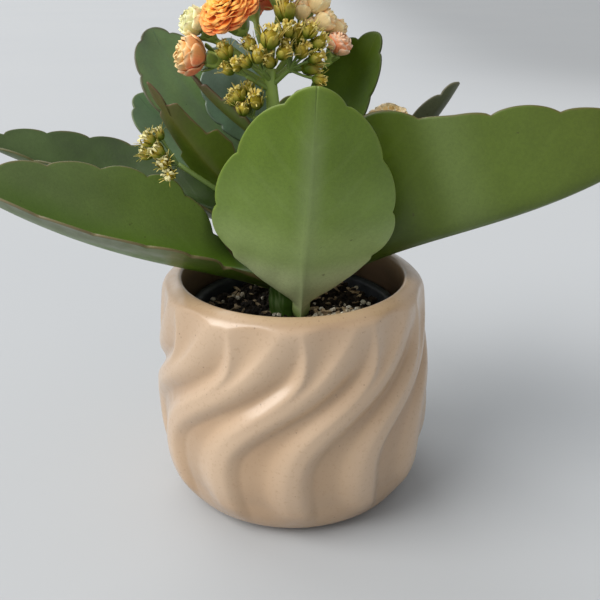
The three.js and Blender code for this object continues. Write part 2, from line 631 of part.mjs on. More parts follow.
/** Margin stations on one side: how far along, how far out, with the sinuses between teeth. */
function margin(leaf, side) {
  const length = midribCurve(leaf).getLength();
  const fine = 600;
  const outline = [{ t: 0, s: halfWidth(leaf, side, 0), run: 0 }];
  for (let i = 1; i <= fine; i += 1) {
    const t = Math.sin((Math.PI / 2) * (i / fine));
    const s = i === fine ? 0 : halfWidth(leaf, side, t);
    const before = outline[i - 1];
    outline.push({ t, s, run: before.run + Math.hypot(s - before.s, (t - before.t) * length) });
  }
  const total = outline[fine].run;
  const at = (run) => {
    let i = 1;
    while (i < fine && outline[i].run < run) i += 1;
    const [a, b] = [outline[i - 1], outline[i]];
    const part = (run - a.run) / (b.run - a.run);
    const slope = new THREE.Vector2((b.t - a.t) * length, b.s - a.s).normalize();
    return { t: mix(a.t, b.t, part), s: mix(a.s, b.s, part), slope };
  };
  const first = leaf.toothed * total;
  const pitch = (total - first) / (leaf.teeth - 0.5);
  const depth = leaf.sinus ?? 0.15 * pitch;
  const smooth = Array.from({ length: leaf.rows + 1 }, (_, i) => (first * i) / (leaf.rows + 1));
  const stations = smooth.map((run) => ({ run, cut: 0 }));
  for (let tooth = 0; tooth < leaf.teeth; tooth += 1) {
    const from = first + tooth * pitch;
    const lobes = tooth === leaf.teeth - 1 ? [[0, 1], [0.5, 0]] : [[0, 1], [0.33, 0.1], [0.7, 0]];
    for (const [part, cut] of lobes) {
      stations.push({ run: Math.min(from + part * pitch, total), cut: cut * depth });
    }
  }
  return stations.map(({ run, cut }) => {
    const { t, s, slope } = at(run);
    return { t: t + (cut * slope.y) / length, s: Math.max(s - cut * slope.x, 0) };
  });
}

/** A closed leaf: both faces split alike, walled along the margin and capped at the stalk. */
function leafGeometry(leaf) {
  const columns = leaf.columns ?? [0.12, 0.5, 1];
  const points = [];
  const triangles = [];
  const midPoints = new Map();
  const pair = (side, s, t) => {
    const top = bladePoint(leaf, side, s, t);
    const down = bladeUp(leaf, side, s, t).multiplyScalar(-thickness(leaf, side, s, t));
    return [points.push(top.toArray()) - 1, points.push(top.clone().add(down).toArray()) - 1];
  };
  const shared = (t) => {
    const key = t.toFixed(6);
    if (!midPoints.has(key)) midPoints.set(key, pair(0, 0, t));
    return midPoints.get(key);
  };
  const edges = [margin(leaf, 0), margin(leaf, 1)];
  const feet = edges[0].map(({ t }, i) => (t + edges[1][i].t) / 2).map((t) => t - 0.14 * t ** 3);
  const stem = [];
  for (const side of [0, 1]) {
    const rows = edges[side].map(({ t, s }, i) => {
      const foot = feet[i];
      const last = i === feet.length - 1;
      const ray = [shared(foot)];
      for (const part of columns) {
        const along = mix(foot, t, part);
        ray.push(last ? shared(along) : pair(side, s * part, along));
      }
      return ray;
    });
    const face = (a, b, c, layer) => {
      const flip = (side === 0) !== (layer === 1);
      triangles.push(flip ? [a[layer], c[layer], b[layer]] : [a[layer], b[layer], c[layer]]);
    };
    for (let i = 0; i < rows.length - 1; i += 1) {
      const [near, far] = [rows[i], rows[i + 1]];
      for (let j = 0; j < columns.length; j += 1) {
        for (const layer of [0, 1]) {
          face(near[j], near[j + 1], far[j + 1], layer);
          face(near[j], far[j + 1], far[j], layer);
        }
      }
      const [a, b] = [near[columns.length], far[columns.length]];
      const wall = [[a[0], a[1], b[1]], [a[0], b[1], b[0]]];
      wall.forEach(([p, q, r]) => triangles.push(side ? [p, q, r] : [p, r, q]));
    }
    stem.push(rows[0]);
  }
  for (const side of [0, 1]) {
    const row = stem[side];
    for (let j = 0; j < columns.length; j += 1) {
      const cap = [[row[j][0], row[j][1], row[j + 1][1]], [row[j][0], row[j + 1][1], row[j + 1][0]]];
      cap.forEach(([p, q, r]) => triangles.push(side ? [p, q, r] : [p, r, q]));
    }
  }
  return body(points, triangles);
}

for (const [name, leaf] of Object.entries(LEAVES)) place(name, leafGeometry(leaf), leaf.colour, 0.5);

// ---------------------------------------------------------------- stem and flowers

/** Turns and moves a geometry built along +Z so that it stands at a point and faces along an axis. */
function aim(geometry, at, axis) {
  const up = new THREE.Vector3(0, 0, 1);
  const turn = new THREE.Quaternion().setFromUnitVectors(up, vector(axis).normalize());
  geometry.applyQuaternion(turn);
  geometry.translate(...at);
  return geometry;
}

/** The middle of the calyx top under a bloom. */
function calyxTop(bloom) {
  return vector(bloom.at).addScaledVector(vector(bloom.axis).normalize(), -GAP);
}

/** A flower branch that swells into the calyx cup under its bloom. */
function branchSolid(name, [height, ...way]) {
  const bloom = BLOOMS[name];
  const axis = vector(bloom.axis).normalize();
  const top = calyxTop(bloom);
  const size = bloom.size * (bloom.cup ?? 1);
  const cup = top.clone().addScaledVector(axis, -3 * size);
  const throat = top.clone().addScaledVector(axis, -5.5 * size);
  const { x, y } = stemAt(height);
  const points = [[x, y, height], ...way, throat.toArray(), cup.toArray(), top.toArray()];
  const radii = [1.1, ...way.map(() => 1.1), 1.1, 2.2 * size, 2.4 * size];
  return solid(taper(points, radii, 5, points.length + 2));
}

const stem = solid(stemSkin(STEM.map(([z]) => z), 0));
const branches = Object.entries(BRANCHES).map(([name, start]) => branchSolid(name, start));
place('flower_stem', geometryOf(fuse([stem, ...branches])), 0x6f8f3f, 0.55);

/** One bloom: layers of petals with slits between them, in one skin from the calyx to the middle. */
function bloomGeometry({ at, axis, size, shape }) {
  const thick = 0.65;
  const slit = 0.45; // how far out from the root the slit between two petals reaches
  const { petals, base, belly, layers, roots, centre } = shape;
  const circle = (turn, spot) => Array.from({ length: petals * 3 }, (_, k) => {
    const petal = Math.floor(k / 3);
    const share = [0, 0.15, 0.85][k % 3];
    const angle = (2 * Math.PI * (petal + share + turn)) / petals;
    const [radius, z] = spot(k % 3);
    return [radius * Math.cos(angle), radius * Math.sin(angle), z];
  });
  const plain = (turn, point) => circle(turn, () => point);
  const lobed = (turn, root, [radius, z]) => circle(turn, (k) => {
    if (k > 0) return [radius, z + (k === 1 ? 0.5 : 0)];
    return [mix(root[0], radius, slit), mix(root[1], z, slit)];
  });
  const rings = [plain(0, [base, 0])];
  if (belly) rings.push(plain(0, belly));
  layers.forEach((end, i) => {
    const turn = i * 0.5;
    const under = i === 0 ? belly ?? [base, 0] : roots[i - 1];
    const over = roots[i] ?? [0, centre];
    rings.push(lobed(turn, under, end), lobed(turn, over, [end[0] - 0.3, end[1] + thick]));
    if (roots[i]) rings.push(plain(turn + 0.25, roots[i]));
  });
  const geometry = skin(rings, [0, 0, 0], [0, 0, centre]);
  geometry.scale(size, size, size);
  return aim(geometry, at, axis);
}

for (const [name, bloom] of Object.entries(BLOOMS)) place(name, bloomGeometry(bloom), bloom.colour, 0.6);

/** A spray: one stalk to a hub, and a thin stalk with a bud at its end for each bud. */
function sprayGeometry({ seat, way = [], hub, buds }) {
  const stalk = [stemSeat(seat, SPRAY_CLEARANCE), ...way, hub];
  const pieces = [solid(taper(stalk, [0.9, ...way.map(() => 0.85), 1.1], 4, stalk.length))];
  for (const [x, y, z, radius] of buds) {
    const bud = vector([x, y, z]);
    const way = bud.clone().sub(vector(hub)).normalize();
    const under = bud.clone().addScaledVector(way, -0.6 * radius);
    pieces.push(solid(taper([hub, under.toArray()], [0.7, 0.7], 3, 1)));
    const head = new THREE.SphereGeometry(radius, 5, 3);
    head.rotateX(Math.PI / 2);
    head.scale(0.88, 0.88, 1.15);
    pieces.push(solid(aim(head, [x, y, z], way.toArray())));
  }
  return geometryOf(fuse(pieces));
}

for (const [name, spray] of Object.entries(SPRAYS)) place(name, sprayGeometry(spray), spray.colour, 0.6);

export default plant;
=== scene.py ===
import math
import random

import bmesh
import bpy
import numpy as np
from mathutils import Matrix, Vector


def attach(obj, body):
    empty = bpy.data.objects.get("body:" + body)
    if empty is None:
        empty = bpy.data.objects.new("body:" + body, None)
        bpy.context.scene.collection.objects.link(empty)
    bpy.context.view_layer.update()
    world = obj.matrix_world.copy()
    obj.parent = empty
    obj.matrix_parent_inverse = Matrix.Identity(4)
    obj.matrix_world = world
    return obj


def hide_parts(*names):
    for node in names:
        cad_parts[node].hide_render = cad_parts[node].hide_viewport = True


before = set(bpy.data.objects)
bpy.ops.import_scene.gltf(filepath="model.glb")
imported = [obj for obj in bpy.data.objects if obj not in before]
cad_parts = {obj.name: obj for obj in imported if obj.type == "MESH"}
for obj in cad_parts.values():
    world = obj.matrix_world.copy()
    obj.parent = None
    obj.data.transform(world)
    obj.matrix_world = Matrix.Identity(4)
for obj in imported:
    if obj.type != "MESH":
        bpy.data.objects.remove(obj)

# A potted kalanchoe. Shapes are worked out in millimetres in the CAD frame (+Z up, front toward -Y)
# and stored in metres.
MM = 0.001
DEGREE = math.pi / 180
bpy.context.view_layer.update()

# --- dimensions shared with the CAD
POT_HEIGHT = 86.5
FLUTES = 12
RELIEF = 2.8  # from a crest to a valley
HOLLOW = 0.5  # how deep a panel dips near the rim, as a share of the relief
# over height: the radius of the wall and of the rim, the crest's swing in degrees, and where across a
# flute, from 0 to 1, the panel beside the crest ends and the valley lies
BELLY = [
    (0, 39), (1, 41), (4.3, 45), (13, 50.1), (26, 52.7), (47.5, 52.2), (69, 50), (84, 48.6), (86.5, 48.1),
]
RIM = [
    (74, 53.5), (79, 50.8), (81.5, 49.4), (83, 48.5), (84.2, 47.4), (85.2, 46), (86, 44.4), (86.4, 43.2),
    (86.5, 42.4),
]
SWIRL = [
    (0, -27), (10, -29.3), (18, -31.5), (26, -32), (33, -30.7), (39, -28), (45, -23), (51, -15),
    (57, -6), (63, 1), (68, 4.2), (75, 5), (84, 3.4),
]
PANEL = [
    (20, 0.08), (34, 0.06), (46, 0.1), (58, 0.13), (65, 0.21), (69, 0.29), (74, 0.43),
    (78, 0.56), (81, 0.66), (85, 0.8),
]
VALLEY = [
    (20, 0.36), (34, 0.34), (40, 0.41), (46, 0.52), (54, 0.61), (60, 0.68), (65, 0.75),
    (69, 0.81), (74, 0.87), (80, 0.92), (86, 0.95),
]
MOUTH = 41  # inner radius of the pot at its rim
MIX_LEVEL = 70
# height, x, y and radius
STEM = [
    (60, -3.4, 0.8, 6.2), (80, -2.3, 0.6, 6.4), (92, -2.2, 0.3, 6), (105, -2.6, 0, 5.4),
    (117, -3.8, -0.6, 4.7), (128, -5, -1.5, 3.9), (139, -5.9, -2.8, 2.9), (148, -6.6, -4, 2.3),
    (160, -7.5, -5, 1.9),
]

# seat: height on the stem and compass of the foot. clear: how far off the stem it starts. path: the rest
# of the midrib's curve. face: where the upper side looks. half: half widths to the left and right of the
# midrib. broad, base, tip: where it is widest, and how full it is before and after. shoulder: how much
# wider the right half is near the stem. fold, curl: degrees at the midrib and over a half. soft: how
# gently the fold starts. stalk, foot: its share of the length and its half width. teeth, toothed, sinus,
# jagged: their number on a side, where they start, how deep they are cut, and whether they are pointed.
USUAL = dict(
    clear=0.6, broad=0.5, base=0.85, tip=1.8, shoulder=0, curl=(8, 8), soft=1.6, stalk=0.12, teeth=4,
    toothed=0.35, jagged=False)
LEAVES = {
    "leaf_front": dict(
        seat=(75, -50), clear=2.1, path=[(3.5, -21.5, 90), (5, -39, 121), (7.2, -45, 160.5)],
        face=(0, 0.9, 0.3), half=(30.5, 32.5), base=1.2, tip=1.75, fold=(12, 12), curl=(6, 6), soft=4.5,
        stalk=0.07, foot=3.2, toothed=0.37, sinus=1.9, look="front"),
    "leaf_right": dict(
        seat=(82, -14), path=[(35, -6, 107), (82, -20, 107), (118, -28, 142)], face=(-0.1, 0.2, 1),
        half=(34, 38.5), broad=0.4, base=0.3, tip=2.1, shoulder=11.5, fold=(40, 78), curl=(10, 4),
        teeth=6, toothed=0.22, sinus=2.6, look="right"),
    "leaf_left": dict(
        seat=(86, 196), path=[(-32, -13, 96), (-68, -21, 98), (-106, -27, 128)], face=(0, 0, 1),
        half=(19.5, 32.5), broad=0.42, base=1.15, tip=2, fold=(29, 48), curl=(0, 6), stalk=0.1, teeth=6,
        toothed=0.22, sinus=2.6, look="left"),
    "leaf_left_back": dict(
        seat=(98.5, 160), path=[(-36, 24, 112), (-80, 30, 107), (-120, 32, 129)], face=(0, -0.1, 1),
        half=(12, 20), base=0.6, tip=2.1, fold=(40, 44), stalk=0.07, teeth=6, toothed=0.3, sinus=2.2,
        look="left_back"),
    "leaf_back": dict(
        seat=(80, 88), path=[(3, 30, 89), (8, 62, 99), (12, 92, 128)], face=(0, -0.3, 1), half=(31, 31),
        broad=0.48, base=0.9, tip=1.7, fold=(22, 22), teeth=5, look="back"),
    "leaf_back_right": dict(
        seat=(95, 40), path=[(22, 29, 109.5), (54, 52, 113), (86, 70, 119)], face=(-0.1, -0.2, 1),
        half=(20, 18), fold=(26, 36), teeth=5, look="back"),
    "leaf_back_left": dict(
        seat=(104, 102), path=[(-10, 32, 113), (-22, 56, 124), (-36, 74, 148)], face=(0.2, -0.4, 1),
        half=(20, 20), broad=0.55, fold=(24, 24), look="back"),
    "leaf_upper_left": dict(
        seat=(121, 155), path=[(-22, 12, 135), (-42, 18, 150), (-50, 22, 171)], face=(0.5, -0.6, 0.5),
        half=(20, 16), broad=0.56, base=0.9, tip=1.9, fold=(10, 12), curl=(4, 4), sinus=1.7,
        look="upper_left"),
    "leaf_mid_left": dict(
        seat=(111, 142), path=[(-23, 14, 120), (-44, 23, 128), (-58, 27, 147)], face=(0.4, -0.5, 0.7),
        half=(15, 15), broad=0.6, base=0.9, tip=2, fold=(10, 12), curl=(4, 4), look="mid_left"),
    "leaf_young_left": dict(
        seat=(115, 207), path=[(-22, -13.5, 120.5), (-34, -13, 137), (-47, -11, 157)],
        face=(0.3, 0.9, 0.35), half=(12, 14), broad=0.42, base=0.8, tip=1.05, fold=(46, 20), curl=(6, 6),
        teeth=3, toothed=0.42, sinus=3.2, jagged=True, look="young"),
    "leaf_bud_left": dict(
        seat=(136, 200), path=[(-15, -5, 141), (-27, -3, 148), (-33, -2, 158)], face=(0.5, 0.4, 0.6),
        half=(4.5, 4.5), broad=0.45, base=0.8, tip=1.5, fold=(50, 50), curl=(6, 6), teeth=3, toothed=0.4,
        sinus=1.2, jagged=True, look="bud"),
    "leaf_centre": dict(
        seat=(129, 120), path=[(-14, 9, 138), (-21, 13, 150), (-23, 16, 168)], face=(0.1, -0.8, 0.4),
        half=(14, 13), broad=0.55, base=0.8, tip=1.9, fold=(12, 12), curl=(4, 4), toothed=0.4,
        look="centre"),
    "leaf_upper_right": dict(
        seat=(119, 4), path=[(10.5, 2.6, 123), (19, 6, 145.2), (29, 6, 170.7)], face=(-0.5, -0.75, 0.3),
        half=(16, 10), broad=0.7, base=0.8, fold=(8, 18), curl=(4, 8), teeth=3, toothed=0.5,
        look="upper_right"),
    "leaf_mid_right": dict(
        seat=(104, 36), path=[(20, 17, 111), (44, 22, 121), (60, 19, 152.5)], face=(-0.4, 0.2, 0.9),
        half=(11, 11), base=0.8, tip=2.4, fold=(45, 50), curl=(6, 6), look="mid_right"),
    "leaf_upper_back": dict(
        seat=(112, 80), path=[(1, 18, 123), (3, 31, 131), (4.5, 39, 147)], face=(0, -0.8, 0.5),
        half=(13, 13), broad=0.55, fold=(14, 14), curl=(5, 5), look="back"),
}

# at: the middle of its foot. axis: where it faces. size: 1 is about 20 mm across when open. form: its
# layers of petals. cup: how much larger its calyx is
BLOOMS = {
    "bloom_front": dict(at=(-19, -4.6, 176.6), axis=(-0.42, -0.46, 0.8), size=1.06, form="open", cup=1.45),
    "bloom_top": dict(at=(-4, 3, 185), axis=(0.05, 0, 1), size=1, form="open", cup=1.4),
    "bloom_back": dict(at=(-14, 13, 178), axis=(-0.3, 0.6, 0.75), size=1, form="small"),
    "bloom_right": dict(at=(12, 9, 187), axis=(0.5, 0.25, 0.85), size=0.9, form="small"),
    "bloom_side": dict(at=(34.5, 9, 139.5), axis=(0.1, -0.35, 0.9), size=0.8, form="loose"),
    "bloom_half_left": dict(at=(-28.6, -4, 163.2), axis=(-0.85, -0.25, 0.2), size=1.15, form="half"),
    "bloom_half_pale": dict(at=(-29.5, 2.4, 171.5), axis=(-0.7, -0.1, 0.6), size=0.95, form="half"),
    "bloom_half_right": dict(at=(13.8, -0.4, 164.6), axis=(0.5, -0.2, 0.8), size=0.78, form="half"),
}
# height on the stem and points on the way to the bloom
BRANCHES = {
    "bloom_front": (157, [(-11, -3.4, 164)]),
    "bloom_top": (158, [(-6.5, -1, 166), (-4.5, 2, 176)]),
    "bloom_back": (157, [(-9, 2, 163), (-11.5, 7, 170)]),
    "bloom_right": (156, [(-1, 2, 164), (6, 6, 176)]),
    "bloom_side": (106, [(10, 8, 115), (24, 10, 127)]),
    "bloom_half_left": (154, [(-14, -4, 158)]),
    "bloom_half_pale": (156, [(-14, 0.5, 161), (-21, 1.5, 166)]),
    "bloom_half_right": (156, [(-3, -0.6, 158.4), (4, -0.6, 159.8)]),
}
# seat on the stem, points on the way, hub, how ripe its buds are (0 green to 1 peach), then each bud's x, y,
# z and radius
SPRAYS = {
    "spray_left": ((153.6, 211.5), [], (-15, -9.4, 158.4), 0.45,
        [(-21.5, -10, 165.9, 2.3), (-20.8, -8.6, 160.4, 1.9), (-17.9, -12, 162, 1.8)]),
    "spray_front": ((157, 249), [], (-9.6, -10.8, 160), 0.6,
        [(-6.9, -14, 170.4, 2.9), (-11, -14.4, 165.1, 2.2), (-7.2, -12.6, 163.3, 2.1),
         (-13.4, -11.5, 168.4, 1.9), (-3, -13.4, 165.8, 2), (-14.8, -12.6, 163, 1.8)]),
    "spray_right": ((155.5, -30), [], (-1, -7.2, 160), 0.25,
        [(-2.1, -4, 177.6, 3), (1.5, -7.4, 170.8, 2.6), (3, -10, 166.2, 2.3), (5.6, -6.5, 160.8, 2.5),
         (8.6, -9, 157, 1.8), (8.6, -8.4, 168.6, 2.4), (-1.4, -10.6, 172.6, 2.1), (5.4, -10, 172.2, 2),
         (7.6, -9.6, 164, 2.1), (-2.2, -11, 167.8, 1.8)]),
    "spray_peach": ((156.8, 8), [(-1.4, -4, 160.6)], (-0.2, -0.4, 166.2), 1.0,
        [(3.2, 0.5, 178, 2.9), (8.4, 0.6, 180.6, 3.5), (10.6, 0.6, 174.6, 3.2), (14.6, 4.8, 171.6, 3),
         (5.8, 1.4, 173, 2.5)]),
    "spray_low": ((141, 216), [], (-13.4, -8.4, 145), 0.0,
        [(-17.6, -9.4, 152.1, 2.1), (-14.6, -8, 154, 1.7), (-12, -10.6, 150.3, 2.4),
         (-16.2, -10.8, 147.7, 1.9), (-20, -7.4, 150, 1.7)]),
    "spray_side": ((109, 222), [(-16, -13, 115)], (-38, -17, 131), 0.85,
        [(-46.9, -17, 138.9, 1.9), (-44, -18.6, 135.6, 1.9), (-42.2, -18.6, 131.6, 1.8),
         (-40.5, -18.4, 127.8, 1.7), (-48, -15.6, 134.2, 1.8), (-44, -14.6, 140, 1.6)]),
}


# --- small helpers
def unit(v):
    v = np.asarray(v, float)
    return v / np.maximum(np.linalg.norm(v, axis=-1, keepdims=True), 1e-9)


def rise(a, b, x):
    """A smooth step from 0 at a to 1 at b."""
    t = np.clip((np.asarray(x, float) - a) / (b - a), 0, 1)
    return t * t * (3 - 2 * t)


def around(count):
    """Angles of count points round a circle."""
    return np.linspace(0, 2 * np.pi, count, endpoint=False)


def circle(radius, z, angles, centre=(0, 0)):
    """A level ring of points, whose radius may change round it."""
    x, y = centre[0] + radius * np.cos(angles), centre[1] + radius * np.sin(angles)
    return np.stack([x, y, np.broadcast_to(z, x.shape)], 1)


def through(points, x):
    """The smooth curve through sorted (x, y) points, read at x."""
    p = np.asarray(points, float)
    xs, ys = p[:, 0], p[:, 1]
    last = len(xs) - 1
    before, after = np.maximum(np.arange(last + 1) - 1, 0), np.minimum(np.arange(last + 1) + 1, last)
    slope = (ys[after] - ys[before]) / (xs[after] - xs[before])
    x = np.clip(np.asarray(x, float), xs[0], xs[-1])
    i = np.clip(np.searchsorted(xs, x, side="right") - 1, 0, last - 1)
    w = xs[i + 1] - xs[i]
    t = (x - xs[i]) / w
    return ((2 * t**3 - 3 * t**2 + 1) * ys[i] + (t**3 - 2 * t**2 + t) * w * slope[i]
            + (3 * t**2 - 2 * t**3) * ys[i + 1] + (t**3 - t**2) * w * slope[i + 1])


def smooth_path(points, count):
    """count points along a smooth curve through the given ones, spread by chord length."""
    p = np.asarray(points, float)
    run = np.concatenate([[0], np.cumsum(np.linalg.norm(np.diff(p, axis=0), axis=1))])
    at = np.linspace(0, run[-1], count)
    return np.stack([through(np.stack([run, p[:, k]], 1), at) for k in range(3)], 1)


def bezier(control, t):
    """Points of the cubic curve at each t."""
    t = t[..., None]
    return ((1 - t) ** 3 * control[0] + 3 * (1 - t) ** 2 * t * control[1]
            + 3 * (1 - t) * t**2 * control[2] + t**3 * control[3])


def stem_at(z):
    """x, y and radius of the stem at a height."""
    table = np.asarray(STEM, float)
    return [through(table[:, [0, column]], z) for column in (1, 2, 3)]


def stem_seat(height, compass, clearance):
    """The point that far off the stem's side."""
    x, y, radius = stem_at(height)
    out = radius + clearance
    return np.array([x + out * math.cos(compass * DEGREE), y + out * math.sin(compass * DEGREE), height])


def axes_of(axis):
    """Two directions square to an axis, and the axis."""
    w = unit(axis)
    u = unit(np.cross((0.13, 0.21, 1) if abs(w[2]) < 0.95 else (1, 0.1, 0), w))
    return u, np.cross(w, u), w


def tube_rings(points, radii, sides):
    """Rings of points round a path, without twist."""
    p = np.asarray(points, float)
    along = unit(np.gradient(p, axis=0))
    across = unit(np.cross(along[0], (0.3, 0.2, 1) if abs(along[0][2]) < 0.9 else (1, 0.1, 0)))
    rings = []
    angles = around(sides)
    for centre, way, radius in zip(p, along, radii):
        across = unit(across - way * np.dot(across, way))
        up = np.cross(way, across)
        rings.append(centre + radius * (np.outer(np.cos(angles), across) + np.outer(np.sin(angles), up)))
    return np.array(rings)


class Shape:
    """Points, faces and per-point values gathered from several closed forms."""

    def __init__(self, *keys):
        self.points, self.faces, self.values = [], [], {key: [] for key in keys}

    def rings(self, rings, **values):
        """A closed form from rings of equally many points, capped at both ends."""
        rings = np.asarray(rings, float)
        rows, count = rings.shape[:2]
        start = len(self.points)
        self.points += rings.reshape(-1, 3).tolist()
        for row in range(start, start + (rows - 1) * count, count):
            for k in range(count):
                a, b = row + k, row + (k + 1) % count
                self.faces.append((a, b, b + count, a + count))
        self.points += [rings[0].mean(0).tolist(), rings[-1].mean(0).tolist()]
        first, final = len(self.points) - 2, len(self.points) - 1
        top = start + (rows - 1) * count
        for k in range(count):
            self.faces.append((first, start + (k + 1) % count, start + k))
            self.faces.append((final, top + k, top + (k + 1) % count))
        for key, data in self.values.items():
            value = np.broadcast_to(np.asarray(values.get(key, 0.0), float), (rows, count))
            data += value.reshape(-1).tolist() + [float(value[0].mean()), float(value[-1].mean())]

    def make(self, name, slot, material, nodes=(), merge=0.0, smooth=True):
        """nodes: the solids that it stands for. merge: how near, in mm, points become one."""
        mesh = bpy.data.meshes.new(name)
        mesh.from_pydata((np.asarray(self.points) * MM).tolist(), [], self.faces)
        for key, data in self.values.items():
            mesh.attributes.new(key, "FLOAT", "POINT").data.foreach_set("value", data)
        work = bmesh.new()
        work.from_mesh(mesh)
        if merge:
            bmesh.ops.remove_doubles(work, verts=work.verts, dist=merge * MM)
        bmesh.ops.recalc_face_normals(work, faces=work.faces)
        work.to_mesh(mesh)
        work.free()
        mesh.polygons.foreach_set("use_smooth", [smooth] * len(mesh.polygons))
        mesh.materials.append(material)
        piece = bpy.data.objects.new(name, mesh)
        bpy.context.collection.objects.link(piece)
        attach(piece, "root")
        if nodes:
            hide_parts(*nodes)


# --- paints
class Paint:
    """A material with one Principled shader and short ways to add nodes to it. A shade is the three 0-255
    values that a surface should show in even light, where white is what a white one gives back."""

    def __init__(self, name, white=0.78, **settings):
        self.white = white
        self.material = bpy.data.materials.new(name)
        self.material.use_nodes = True
        self.tree = self.material.node_tree
        self.shader = self.tree.nodes["Principled BSDF"]
        self.where = self.add("ShaderNodeTexCoord").outputs["Object"]
        for key, value in settings.items():
            self.shader.inputs[key.replace("_", " ")].default_value = value

    def add(self, kind, **settings):
        node = self.tree.nodes.new(kind)
        for key, value in settings.items():
            setattr(node, key, value)
        return node

    def colour(self, shade):
        linear = (((c / 255 + 0.055) / 1.055) ** 2.4 if c > 10 else c / 3294.6 for c in shade)
        return tuple(self.white * c for c in linear) + (1,)

    def put(self, socket, value):
        """Link an output to a socket, or set it to a number or a shade."""
        if hasattr(value, "is_linked"):
            self.tree.links.new(value, socket)
        else:
            socket.default_value = self.colour(value) if isinstance(value, tuple) else value

    def read(self, key):
        return self.add("ShaderNodeAttribute", attribute_name=key).outputs["Fac"]

    def place(self, axis):
        """x, y or z in metres, for axis 0, 1 or 2."""
        node = self.add("ShaderNodeSeparateXYZ")
        self.put(node.inputs[0], self.where)
        return node.outputs[axis]

    def noise(self, scale, detail=3, rough=0.55, stretch=None):
        node = self.add("ShaderNodeTexNoise")
        for key, value in (("Scale", scale), ("Detail", detail), ("Roughness", rough)):
            node.inputs[key].default_value = value
        where = self.where
        if stretch:
            mapping = self.add("ShaderNodeMapping")
            mapping.inputs["Scale"].default_value = stretch
            self.put(mapping.inputs["Vector"], where)
            where = mapping.outputs["Vector"]
        self.put(node.inputs["Vector"], where)
        return node.outputs["Fac"]

    def cells(self, scale):
        node = self.add("ShaderNodeTexVoronoi")
        node.inputs["Scale"].default_value = scale
        self.put(node.inputs["Vector"], self.where)
        return node.outputs["Distance"]

    def math(self, operation, a, b=0.0, c=0.0):
        node = self.add("ShaderNodeMath", operation=operation)
        for socket, value in zip(node.inputs, (a, b, c)):
            self.put(socket, value)
        return node.outputs[0]

    def times(self, a, b):
        return self.math("MULTIPLY", a, b)

    def span(self, value, low, high, to_low=0.0, to_high=1.0):
        """value from low..high to to_low..to_high, held at the ends."""
        node = self.add("ShaderNodeMapRange", interpolation_type="SMOOTHSTEP")
        for socket, number in zip(node.inputs, (value, low, high, to_low, to_high)):
            self.put(socket, number)
        return node.outputs[0]

    def mix(self, a, b, share):
        node = self.add("ShaderNodeMix", data_type="RGBA")
        for socket, value in zip((node.inputs[0], node.inputs[6], node.inputs[7]), (share, a, b)):
            self.put(socket, value)
        return node.outputs[2]

    def patch(self, base, shade, mask, share):
        """The base with a share of the shade where the mask is."""
        return self.mix(base, shade, self.times(mask, share))

    def tone(self, base, factor):
        """The base made brighter or darker."""
        node = self.add("ShaderNodeVectorMath", operation="SCALE")
        self.put(node.inputs[0], base)
        self.put(node.inputs["Scale"], factor)
        return node.outputs["Vector"]

    def ramp(self, value, stops):
        """The shade at value among stops of (place, shade), the first at 0 and the last at 1."""
        node = self.add("ShaderNodeValToRGB")
        band = node.color_ramp
        band.interpolation = "EASE"
        band.elements[0].color = self.colour(stops[0][1])
        band.elements[1].color = self.colour(stops[-1][1])
        for place, shade in stops[1:-1]:
            band.elements.new(place).color = self.colour(shade)
        self.put(node.inputs["Fac"], value)
        return node.outputs["Color"]

    def finish(self, base, rough=None, height=None, strength=0.3, distance=0.4):
        """height: a fine relief, with its strength and its depth in mm."""
        self.put(self.shader.inputs["Base Color"], base)
        if rough is not None:
            self.put(self.shader.inputs["Roughness"], rough)
        if height is not None:
            bump = self.add("ShaderNodeBump")
            bump.inputs["Strength"].default_value = strength
            bump.inputs["Distance"].default_value = distance * MM
            self.put(bump.inputs["Height"], height)
            self.put(self.shader.inputs["Normal"], bump.outputs["Normal"])
        return self.material


def glaze_paint():
    p = Paint("pot_glaze", Coat_Weight=0.9, Coat_Roughness=0.24, Specular_IOR_Level=0.5)
    crest = p.read("crest")
    base = p.mix((207, 170, 131), (215, 180, 142), p.span(p.noise(28), 0.35, 0.7))
    base = p.tone(base, p.span(crest, 0, 0.4, 0.86, 1))  # painted shade: darker in the valleys, at the foot and inside
    # painted highlight: paler on the crests, on the rim's top and on the inner lip
    base = p.patch(base, (230, 203, 174), crest, 0.5)
    base = p.patch(base, (170, 130, 88), p.span(p.noise(900, 2), 0.56, 0.7), 0.22)
    specks = p.span(p.cells(420), 0.09, 0.16, 1, 0)
    chosen = p.span(p.noise(160, 1), 0.6, 0.66)
    base = p.patch(base, (128, 96, 66), p.times(specks, chosen), 0.5)
    base = p.patch(base, (112, 90, 72), p.read("inside"), 0.75)
    rough = p.span(p.noise(300), 0.3, 0.75, 0.34, 0.5)
    height = p.math("ADD", p.times(p.noise(220), 0.6), p.times(specks, -0.25))
    return p.finish(base, rough, height, 0.18, 0.25)


